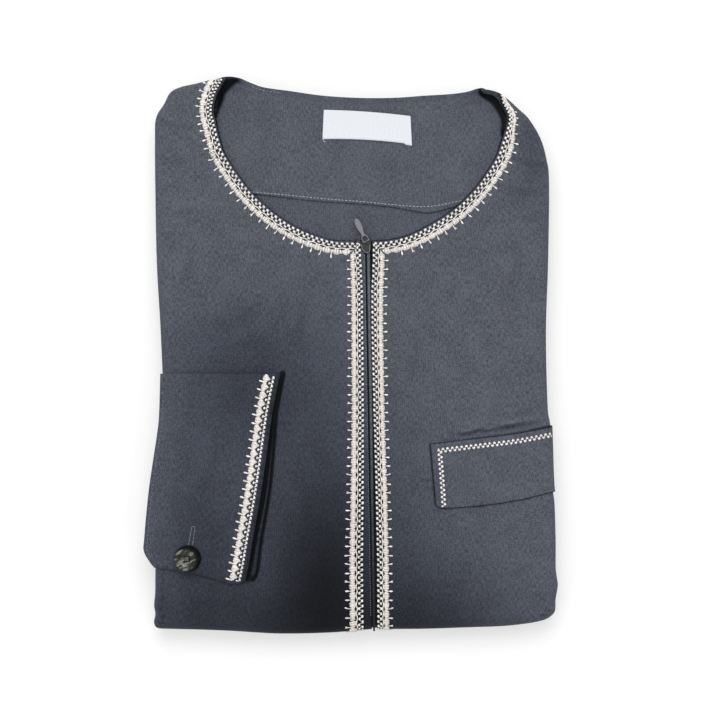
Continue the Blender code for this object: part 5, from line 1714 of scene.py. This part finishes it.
def make_under(use):
    """The lower layer of the sleeve's end: painted shade inside, its rim painted as lit."""
    shares = np.concatenate([np.linspace(0, 0.8, 14), np.linspace(0.82, 1.0, 30)])
    down = np.linspace(0, 1, 100)[:, None]
    edge_y = UNDER_TOP + (UNDER_FOOT - UNDER_TOP) * down
    right = column_value(CUFF_HAND, edge_y) + column_value(UNDER_SHOWS, edge_y)
    left = SLEEVE_START + 1.0
    x = left + (right - left) * shares
    foot = np.interp(x, *zip(*CUFF_LOWER)) + 1.6
    foot = np.where(x > CUFF_LOWER[-1][0], UNDER_FOOT, foot)
    y = UNDER_TOP + (foot - UNDER_TOP) * down
    from_edge = right - x
    rim = column_value(UNDER_RIM, edge_y)
    roll = 0.9 * (1 - smooth(rim, rim + 2.0, from_edge)) - 0.6 * (1 - smooth(0.0, 0.8, from_edge))
    z = front_height(x, y) + GAP + UNDER_WALL + roll
    # Painted light on the lower layer's rim, painted shade everywhere else on it
    lit = (1 - smooth(rim - 0.5, rim + 0.5, from_edge)) * smooth(0.0, 0.5, from_edge)
    lit = lit * (1 - smooth(-90, -40, y)) * smooth(UNDER_CLOSES[1], UNDER_CLOSES[0], y)
    tone = 0.03 + 0.5 * lit * painted_shade_tone(x, y)
    under = grid_sheet("cuff_under_cloth", np.dstack([x, y, z]), use["sleeve"], UNDER_WALL,
                       shade=tone)
    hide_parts("cuff_under")


def make_turn(use):
    """The sleeve's cloth round the packet's left fold."""
    grid = []
    for y in np.linspace(SLEEVE_SPAN[0], SLEEVE_SPAN[1], 80):
        fold_x = float(column_value(LEFT_FOLD, y))
        flat_x = fold_x + SIDE_ROLL
        z = float(front_height(flat_x, y))
        low = float(fold_foot(y))
        middle, half = (z + low) / 2, (z - low) / 2
        bulge = SLEEVE_BULGE * float(smooth(-50, -128, y))
        line = [(x, float(front_height(x, y)) + GAP) for x in np.linspace(SLEEVE_START, flat_x, 8)]
        for angle in np.radians(np.linspace(10, 90, 9)):
            line.append((flat_x - (SIDE_ROLL + GAP + bulge * 0.5 * math.sin(angle)) * math.sin(angle),
                         middle + (half + GAP) * math.cos(angle)))
        side = [(fold_x - GAP - bulge * out + tuck, height) for height, out, tuck in SLEEVE_DROP]
        line += [tuple(p) for p in spline([line[-1]] + side, 5)[1:]]
        wave = 0.35 * math.sin(y / 9.0) + 0.25 * math.sin(y / 5.3 + 1.0)
        grid.append([(x - wave * float(smooth(24, 12, z_at)), y, z_at) for x, z_at in line])
    grid = np.array(grid)
    # Painted shade down the sleeve's side towards the floor, with the broad painted patches
    tone = painted_shade_tone(grid[..., 0], grid[..., 1]) * (1 - 0.35 * smooth(9.0, 1.0, grid[..., 2]))
    turn = grid_sheet("sleeve_cloth", grid, use["cloth"], SLEEVE_WALL, shade=tone, outward=True)
    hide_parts("sleeve_turn")


def make_cuff_stitching(use):
    """The buttonhole's stitches and the seam along the sleeve's edge."""
    tree = surface("cuff")[2]
    edge = spline(swapped(CUFF_SLEEVE))
    seam = (edge + left_normals(edge) * 2.4)[6:-8]
    rows = running_stitches(seam, tree, pitch=2.7, dash=1.2, thick=0.2)
    for ends in BUTTONHOLE:
        rows += running_stitches(ends, tree, pitch=1.0, dash=0.9, thick=0.34)
    rows += running_stitches(BUTTONHOLE_BAR, tree, pitch=1.3, dash=1.2, thick=0.3)
    stitches = stitch_mesh("cuff_topstitching", rows, use["stitching"])


def make_sleeve():
    """The sleeve round the left fold, its flattened end and its stitching."""
    use = finishes()
    make_cuff(use)
    make_under(use)
    make_turn(use)
    make_cuff_stitching(use)


def before_roll(curve, count):
    """Evenly placed points of a curve up to where the right fold begins to turn."""
    roll = column_value(RIGHT_FOLD, curve[:, 1]) - SIDE_ROLL
    stop = int(np.argmax(curve[:, 0] > roll))
    part = (roll[stop] - curve[stop - 1, 0]) / (curve[stop, 0] - curve[stop - 1, 0])
    last = curve[stop - 1] * (1 - part) + curve[stop] * part
    flat = np.vstack([curve[:stop], last])
    return at_shares(flat, spread(count, POCKET_COLUMNS))


def pocket_grid():
    """Points of the patch pocket's outer face, round the right fold."""
    mouth, seam = before_roll(spline(POCKET_MOUTH), 90), before_roll(spline(POCKET_SEAM), 90)
    rise = GAP + POCKET_WALL
    grid = []
    for v in spread(48, POCKET_ROWS):
        flat = (1 - v) * mouth + v * seam
        run = lengths(flat)
        x, y = flat.T
        bowed = np.sin(math.pi * np.minimum(run / POCKET_WIDTH, 1))
        loose = MOUTH_LOOSE * float(1 - smooth(0.0, 0.25, v)) * bowed
        near = np.minimum(run, min(v * POCKET_HEIGHT, (1 - v) * POCKET_HEIGHT))
        z = front_height(x, y) + rise + loose - 0.45 * (1 - smooth(0, 1.2, near))
        edge_y = y[-1]
        fold_x = float(column_value(RIGHT_FOLD, edge_y))
        top, low = z[-1] - rise, float(fold_foot(edge_y))
        angles = np.linspace(0, POCKET_ROLL_END, 22)[1:]
        roll = np.column_stack([
            fold_x - SIDE_ROLL + (SIDE_ROLL + rise) * np.sin(angles),
            edge_y + MOUTH_SLOPE * SIDE_ROLL * angles,
            (top + low) / 2 + ((top - low) / 2 + rise) * np.cos(angles)])
        grid.append(np.vstack([np.column_stack([x, y, z]), roll]))
    return np.array(grid)


def zigzag(first, second, normals, pitch):
    """Thick and thin stitches to and fro between two lines in space."""
    total = min(lengths(first)[-1], lengths(second)[-1])
    spacing = np.arange(0, total, pitch / 2)
    ends = (along(first, spacing), along(second, spacing))
    ups = along(first, spacing, normals)
    rows = []
    for k in range(len(spacing) - 1):
        thick, high = ((1.0, 0.65), (1.35, 0.8))[k % 2]
        start = ends[k % 2][k]
        reach = ends[(k + 1) % 2][k + 1] - start
        for near, far in ZIGZAG_HALVES:
            rows.append((start + reach * near, start + reach * far, ups[k], thick, high))
    return rows


def pocket_stitches(grid):
    """Zigzag below the pocket's mouth and down its left edge."""
    pitch = trim_settings().zigzag_pitch / MM
    normals = grid_normals(grid)
    first = int(np.argmin(np.abs(grid[0, :, 0] - ZIGZAG_START)))
    last = grid.shape[1] - 9
    near, far = ZIGZAG_MOUTH
    upper = np.array([along(grid[:, c], near) for c in range(first, last)])
    lower = np.array([along(grid[:, c], far) for c in range(first, last)])
    rows = zigzag(upper, lower, normals[8, first:last], pitch)
    near, far = ZIGZAG_LEFT
    top = int(np.argmax(lengths(grid[:, 0]) > ZIGZAG_MOUTH[0]))
    left = np.array([along(row, near) for row in grid[top:]])
    right = np.array([along(row, far) for row in grid[top:]])
    return rows + zigzag(left, right, normals[top:, 8], pitch)


def make_pocket():
    """The patch pocket and its zigzag."""
    use = finishes()
    grid = pocket_grid()
    x, y, z = (grid[..., k] for k in range(3))
    # Painted shade where the pocket turns down round the fold, and a painted contact shadow round its
    # edges
    tone = painted_shade_tone(x, y) * (1 - 0.5 * (1 - smooth(14.0, 20.0, z)))
    down = np.array([lengths(column) for column in grid.transpose(1, 0, 2)]).T
    across = np.array([lengths(row) for row in grid])
    edge = np.minimum(np.minimum(down, down[-1] - down), across) / 0.9
    piece = grid_sheet("pocket_cloth", grid, use["cloth"], POCKET_WALL, shade=tone,
                       edge=0.05 + 0.95 * edge)
    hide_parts("pocket")
    stitches = stitch_mesh("pocket_zigzag", pocket_stitches(grid), use["thread"])


# ---- zip, slider and button ----

def zip_grid(left, right, depth, rows, top_y, crown=0.0, ribs=0.0):
    """A strip along the zip and round the hem fold; ribs are the teeth's swell."""
    share = np.linspace(0, 1, 9)
    swell = crown * (1 - (2 * share - 1) ** 2)
    phase = math.pi * (share > 0.5)
    flat_end = zip_flat_end()
    grid = []
    for y in np.linspace(top_y, flat_end, rows):
        narrow = COIL_NARROWS * float(smooth(20, -190, y))
        edge = min(right, float(lip_x(y, 1) - zip_x(y)) - LIP_MARGIN) - narrow if ribs else right
        x = float(zip_x(y)) + left + (edge - left) * share
        wave = ribs * np.cos(math.tau * y / COIL_PITCH + phase)
        line = np.full(len(x), y)
        grid.append(np.column_stack([x, line, front_height(x, line) - depth + swell + wave]))
    flat = grid[-1]
    low = float(fold_foot(HEM_FOOT_Y)) + depth
    steps = int(26 / (COIL_PITCH / 4)) if ribs else 24
    for angle in np.linspace(0, ZIP_ARC, steps)[1:]:
        wave = ribs * np.cos(math.tau * angle * HEM_ROLL / COIL_PITCH + phase)
        lift = math.sin(angle) * (COIL_LIFT if ribs else TAPE_LIFT)
        reach = HEM_ROLL - depth * (1 - lift) + swell + wave
        z = (flat[:, 2] + low) / 2 + ((flat[:, 2] - low) / 2 + wave) * math.cos(angle)
        grid.append(np.column_stack([flat[:, 0], flat_end - reach * math.sin(angle), z]))
    return np.array(grid)


def button_box():
    """The button's lower corner, upper corner and centre, in millimetres."""
    low, high = (np.array(corner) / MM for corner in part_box("cuff_button"))
    return low, high, (low + high) / 2


def refinish(name, material):
    """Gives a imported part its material."""
    NODES[name].data.materials.clear()
    NODES[name].data.materials.append(material)


def highlight_rods(points, thick):
    """Short overlapping rods along points in space: a thin bent rod."""
    points = np.array(points, float)
    rows = []
    for start, stop in zip(points[:-1], points[1:]):
        reach = (stop - start) * 0.12
        rows.append((start - reach, stop + reach, UP, thick, thick))
    return rows


def make_zip():
    """Zip tape, its ribbed coil, the slider's and the pull's finish, and the pale rod painted as the
    highlight on the slider's rim.
    """
    use = finishes()
    tape = zip_grid(-TAPE_HALF, TAPE_HALF + 3, FRONT_WALL + GAP, 90, TAPE_TOP_Y)
    piece = grid_sheet("zip_tape_cloth", tape, use["tape"], ZIP_WALL)
    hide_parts("zip_tape")
    coil = zip_grid(COIL_LEFT, COIL_RIGHT, COIL_DEPTH, COIL_ROWS, COIL_TOP_Y, COIL_CROWN, COIL_RIBS)
    piece = grid_sheet("zip_coil_teeth", coil, use["coil"], ZIP_WALL,
                       shade=painted_shade_tone(coil[..., 0], coil[..., 1]))
    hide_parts("zip_coil")
    refinish("zip_slider", use["slider"])
    refinish("zip_pull", use["pull"])
    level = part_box("zip_slider")[0][2] / MM + SLIDER_HIGHLIGHT_RISE
    loop = spline([(x, y, level) for x, y in SLIDER_RIM_HIGHLIGHT], 6)
    piece = stitch_mesh("slider_rim_highlight", highlight_rods(loop, SLIDER_HIGHLIGHT_THICK), use["wire"])
    y = np.linspace(70.0, -184.0, 300)
    seam = np.column_stack([zip_x(y) - 1.3, y])
    rows = running_stitches(seam, surface("front_left")[2], COIL_PITCH, dash=0.9, thick=0.3)
    stitches = stitch_mesh("zip_topstitching", rows, use["stitching"])


# The thread in the button: depth of the well's crossed stitches, their arms, and the shank below
WELL_DEPTH = 1.55
CROSS_ARM = 2.1
SHANK_STITCHES = 7
SHANK_RADIUS = 1.1


def make_button():
    """Finish for the button, and the thread through its holes."""
    use = finishes()
    refinish("cuff_button", use["button"])
    low, high, centre = button_box()
    rows = []
    level = high[2] - WELL_DEPTH
    for angle in (45, 135):
        arm = CROSS_ARM * np.array([math.cos(math.radians(angle)), math.sin(math.radians(angle)), 0])
        for shift in (-0.25, 0.25):
            side = np.cross(UP, arm) / np.linalg.norm(arm) * shift
            middle = np.array([centre[0], centre[1], level + 0.35])
            rows.append((middle - arm + side, middle + arm + side, UP, 0.5, 0.45))
    for k in range(SHANK_STITCHES):
        angle = math.tau * k / SHANK_STITCHES
        foot = np.array([math.cos(angle), math.sin(angle), 0]) * SHANK_RADIUS
        start = np.array([centre[0], centre[1], low[2] - 1.2]) + foot
        rows.append((start, start + np.array([0, 0, 2.0]) - foot * 0.2, foot, 0.5, 0.5))
    stitches = stitch_mesh("button_thread", rows, use["button_thread"])


def make_embroidery():
    """The trims round the neck, along the zip and on the cuff."""
    use = finishes()
    for name, rows in (("neck_braid_left", neck_trim(-1)), ("neck_braid_right", neck_trim(1)),
                       ("zip_braid_left", zip_trim(-1)), ("zip_braid_right", zip_trim(1)),
                       ("cuff_braid", cuff_trim())):
        piece = stitch_mesh(name.replace("braid", "embroidery"), rows, use["thread"])
        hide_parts(name)


# ---- stage ----

FLOOR_HALF = 6.0
CAMERA_AT = (6.65, -3.5)


def look_at(piece, place, target):
    """Puts a light or camera at a place, looking at a target."""
    piece.location = place
    piece.rotation_euler = (Vector(target) - Vector(place)).to_track_quat("-Z", "Y").to_euler()


def make_stage():
    """White floor, soft lights and a camera straight above."""
    stage = bpy.context.scene.thobe_stage
    scene = bpy.context.scene
    scene.view_settings.view_transform = "Standard"
    material = principled("white floor", {
        "Roughness": 0.9, "Base Color": (*stage.floor_colour, 1.0),
        "Emission Color": (1.0, 1.0, 1.0, 1.0), "Emission Strength": stage.floor_glow})[0]
    half = FLOOR_HALF
    mesh = bpy.data.meshes.new("floor")
    corners = [(-half, -half, 0), (half, -half, 0), (half, half, 0), (-half, half, 0)]
    mesh.from_pydata(corners, [], [(0, 1, 2, 3)])
    mesh.materials.append(material)
    floor = linked("floor", mesh)
    for name, place, size, power in (("key light", (-0.1, 1.0, 1.8), 1.4, stage.key_power),
                                     ("fill light", (-0.4, 0.2, 2.4), 2.0, stage.fill_power)):
        light = bpy.data.lights.new(name, "AREA")
        light.shape = "DISK"
        light.size = size
        light.energy = power
        look_at(linked(name, light), place, (0, 0, 0.02))
    world = bpy.data.worlds.new("studio")
    world.use_nodes = True
    set_inputs(world.node_tree.nodes["Background"],
               {"Color": (1, 1, 1, 1), "Strength": stage.sky_strength})
    scene.world = world
    lens = bpy.data.cameras.new("camera")
    lens.sensor_width = 36.0
    level = FRONT_TOP * MM
    lens.lens = lens.sensor_width * (stage.camera_height - level) / stage.view_width
    lens.clip_end = 50
    scene.camera = linked("camera", lens)
    scene.camera.location = (CAMERA_AT[0] * MM, CAMERA_AT[1] * MM, stage.camera_height)


# ---- settings, operators and panel ----

def colour_setting(name, says, default):
    """A colour in the panel."""
    return FloatVectorProperty(name=name, description=says, subtype="COLOR", size=3,
                               default=default, min=0, max=1)


def length_setting(name, says, default, least, most, digits=5):
    """A length in the panel, in metres."""
    return FloatProperty(name=name, description=says, default=default, min=least, max=most,
                         unit="LENGTH", precision=digits)


class ThobeClothSettings(bpy.types.PropertyGroup):
    """Sizes and colours of the cloth"""
    outer_colour: colour_setting("Outer cloth", "Colour of the cloth's outer side",
                                 linear((72, 75, 83)))
    inner_colour: colour_setting("Inner cloth", "Colour of the cloth's inner side",
                                 linear((71, 74, 82)))
    yarn_pitch: length_setting("Yarn pitch", "Distance between neighbouring yarns of the weave",
                               0.0008, 0.0002, 0.005)
    crease_depth: length_setting("Crease depth", "Depth of a crease of depth one in the table",
                                 0.001, 0, 0.003, 4)
    # How strong the broad painted shade on the cloth is, darkest towards the hem's left side
    painted_shade_amount: FloatProperty(
        name="Painted shade", description="How much the lie of the nap darkens the hem's left side",
        default=1.0, min=0, max=1, subtype="FACTOR")


class ThobeTrimSettings(bpy.types.PropertyGroup):
    """Sizes and colours of the embroidery"""
    thread_colour: colour_setting("Thread", "Colour of the embroidery thread",
                                  linear((215, 210, 205)))
    picot_pitch: length_setting("Picot pitch", "Distance between the trim's picots",
                                0.00625, 0.003, 0.02)
    dot_pitch: length_setting("Dot pitch", "Distance between the dots along the trim's edge",
                              0.0036, 0.002, 0.01)
    zigzag_pitch: length_setting("Zigzag pitch", "Length of one zigzag on the pocket",
                                 0.0033, 0.001, 0.01)


class ThobeStageSettings(bpy.types.PropertyGroup):
    """Floor, lights and camera"""
    floor_colour: colour_setting("Floor", "Colour of the floor", (0.42, 0.42, 0.42))
    floor_glow: FloatProperty(
        name="Floor glow", description="Light the floor gives off, which softens its shadows",
        default=0.48, min=0)
    camera_height: length_setting("Camera height", "Height of the camera above the floor",
                                  2.3, 0.5, 10, 2)
    view_width: length_setting("View width", "Width seen at the top of the packet",
                               0.504, 0.1, 3, 2)
    key_power: FloatProperty(name="Key light", description="Power of the key light", default=22.0,
                             min=0, unit="POWER")
    fill_power: FloatProperty(name="Fill light", description="Power of the fill light", default=5.0,
                              min=0, unit="POWER")
    sky_strength: FloatProperty(name="Sky", description="Strength of the white surroundings",
                                default=0.95, min=0)


class THOBE_OT_layers(bpy.types.Operator):
    """Make the heap of hidden folds"""
    bl_idname = "thobe.layers"
    bl_label = "Folded layers"

    def execute(self, context):
        make_layers()
        return {"FINISHED"}


class THOBE_OT_back(bpy.types.Operator):
    """Make the back inside the neck, its facing and their topstitching"""
    bl_idname = "thobe.back"
    bl_label = "Back and facing"

    def execute(self, context):
        make_back()
        return {"FINISHED"}


class THOBE_OT_fronts(bpy.types.Operator):
    """Make both fronts with their rounded folds"""
    bl_idname = "thobe.fronts"
    bl_label = "Fronts"

    def execute(self, context):
        make_fronts()
        return {"FINISHED"}


class THOBE_OT_label(bpy.types.Operator):
    """Make the plain woven label and its stitches"""
    bl_idname = "thobe.label"
    bl_label = "Neck label"

    def execute(self, context):
        make_label()
        return {"FINISHED"}


class THOBE_OT_zip(bpy.types.Operator):
    """Make the zip's tape and coil and the painted highlight on the slider's rim, and finish its
    slider and pull
    """
    bl_idname = "thobe.zip"
    bl_label = "Zip"

    def execute(self, context):
        make_zip()
        return {"FINISHED"}


class THOBE_OT_sleeve(bpy.types.Operator):
    """Make the sleeve round the left fold and both layers of its end"""
    bl_idname = "thobe.sleeve"
    bl_label = "Sleeve and cuff"

    def execute(self, context):
        make_sleeve()
        return {"FINISHED"}


class THOBE_OT_pocket(bpy.types.Operator):
    """Make the patch pocket and its zigzag"""
    bl_idname = "thobe.pocket"
    bl_label = "Pocket"

    def execute(self, context):
        make_pocket()
        return {"FINISHED"}


class THOBE_OT_embroidery(bpy.types.Operator):
    """Make the embroidered trims round the neck, along the zip and on the cuff"""
    bl_idname = "thobe.embroidery"
    bl_label = "Embroidery"

    def execute(self, context):
        make_embroidery()
        return {"FINISHED"}


class THOBE_OT_button(bpy.types.Operator):
    """Finish the button and sew it on"""
    bl_idname = "thobe.button"
    bl_label = "Button"

    def execute(self, context):
        make_button()
        return {"FINISHED"}


class THOBE_OT_stage(bpy.types.Operator):
    """Make the floor, the lights and the camera"""
    bl_idname = "thobe.stage"
    bl_label = "Stage"

    def execute(self, context):
        make_stage()
        return {"FINISHED"}


OPERATORS = (
    THOBE_OT_layers, THOBE_OT_back, THOBE_OT_fronts, THOBE_OT_label, THOBE_OT_zip,
    THOBE_OT_sleeve, THOBE_OT_pocket, THOBE_OT_embroidery, THOBE_OT_button, THOBE_OT_stage,
)


class THOBE_PT_panel(bpy.types.Panel):
    """Settings and builders of the folded thobe"""
    bl_idname = "THOBE_PT_panel"
    bl_label = "Folded thobe"
    bl_space_type = "VIEW_3D"
    bl_region_type = "UI"
    bl_category = "Thobe"

    def draw(self, context):
        for group in (context.scene.thobe_cloth, context.scene.thobe_trim, context.scene.thobe_stage):
            box = self.layout.box()
            for name in group.__annotations__:
                box.prop(group, name)
        for made in OPERATORS:
            self.layout.operator(made.bl_idname)


SETTINGS = (("thobe_cloth", ThobeClothSettings), ("thobe_trim", ThobeTrimSettings),
            ("thobe_stage", ThobeStageSettings))


def register():
    """Adds the settings, the operators and the panel."""
    for name, group in SETTINGS:
        bpy.utils.register_class(group)
        setattr(bpy.types.Scene, name, PointerProperty(type=group))
    for made in OPERATORS:
        bpy.utils.register_class(made)
    bpy.utils.register_class(THOBE_PT_panel)


def unregister():
    """Takes the panel, the operators and the settings away."""
    bpy.utils.unregister_class(THOBE_PT_panel)
    for made in reversed(OPERATORS):
        bpy.utils.unregister_class(made)
    for name, group in reversed(SETTINGS):
        delattr(bpy.types.Scene, name)
        bpy.utils.unregister_class(group)


def main():
    """Makes every piece in order."""
    register()
    for made in OPERATORS:
        getattr(bpy.ops.thobe, made.bl_idname.split(".")[1])()


if __name__ == "__main__":
    main()
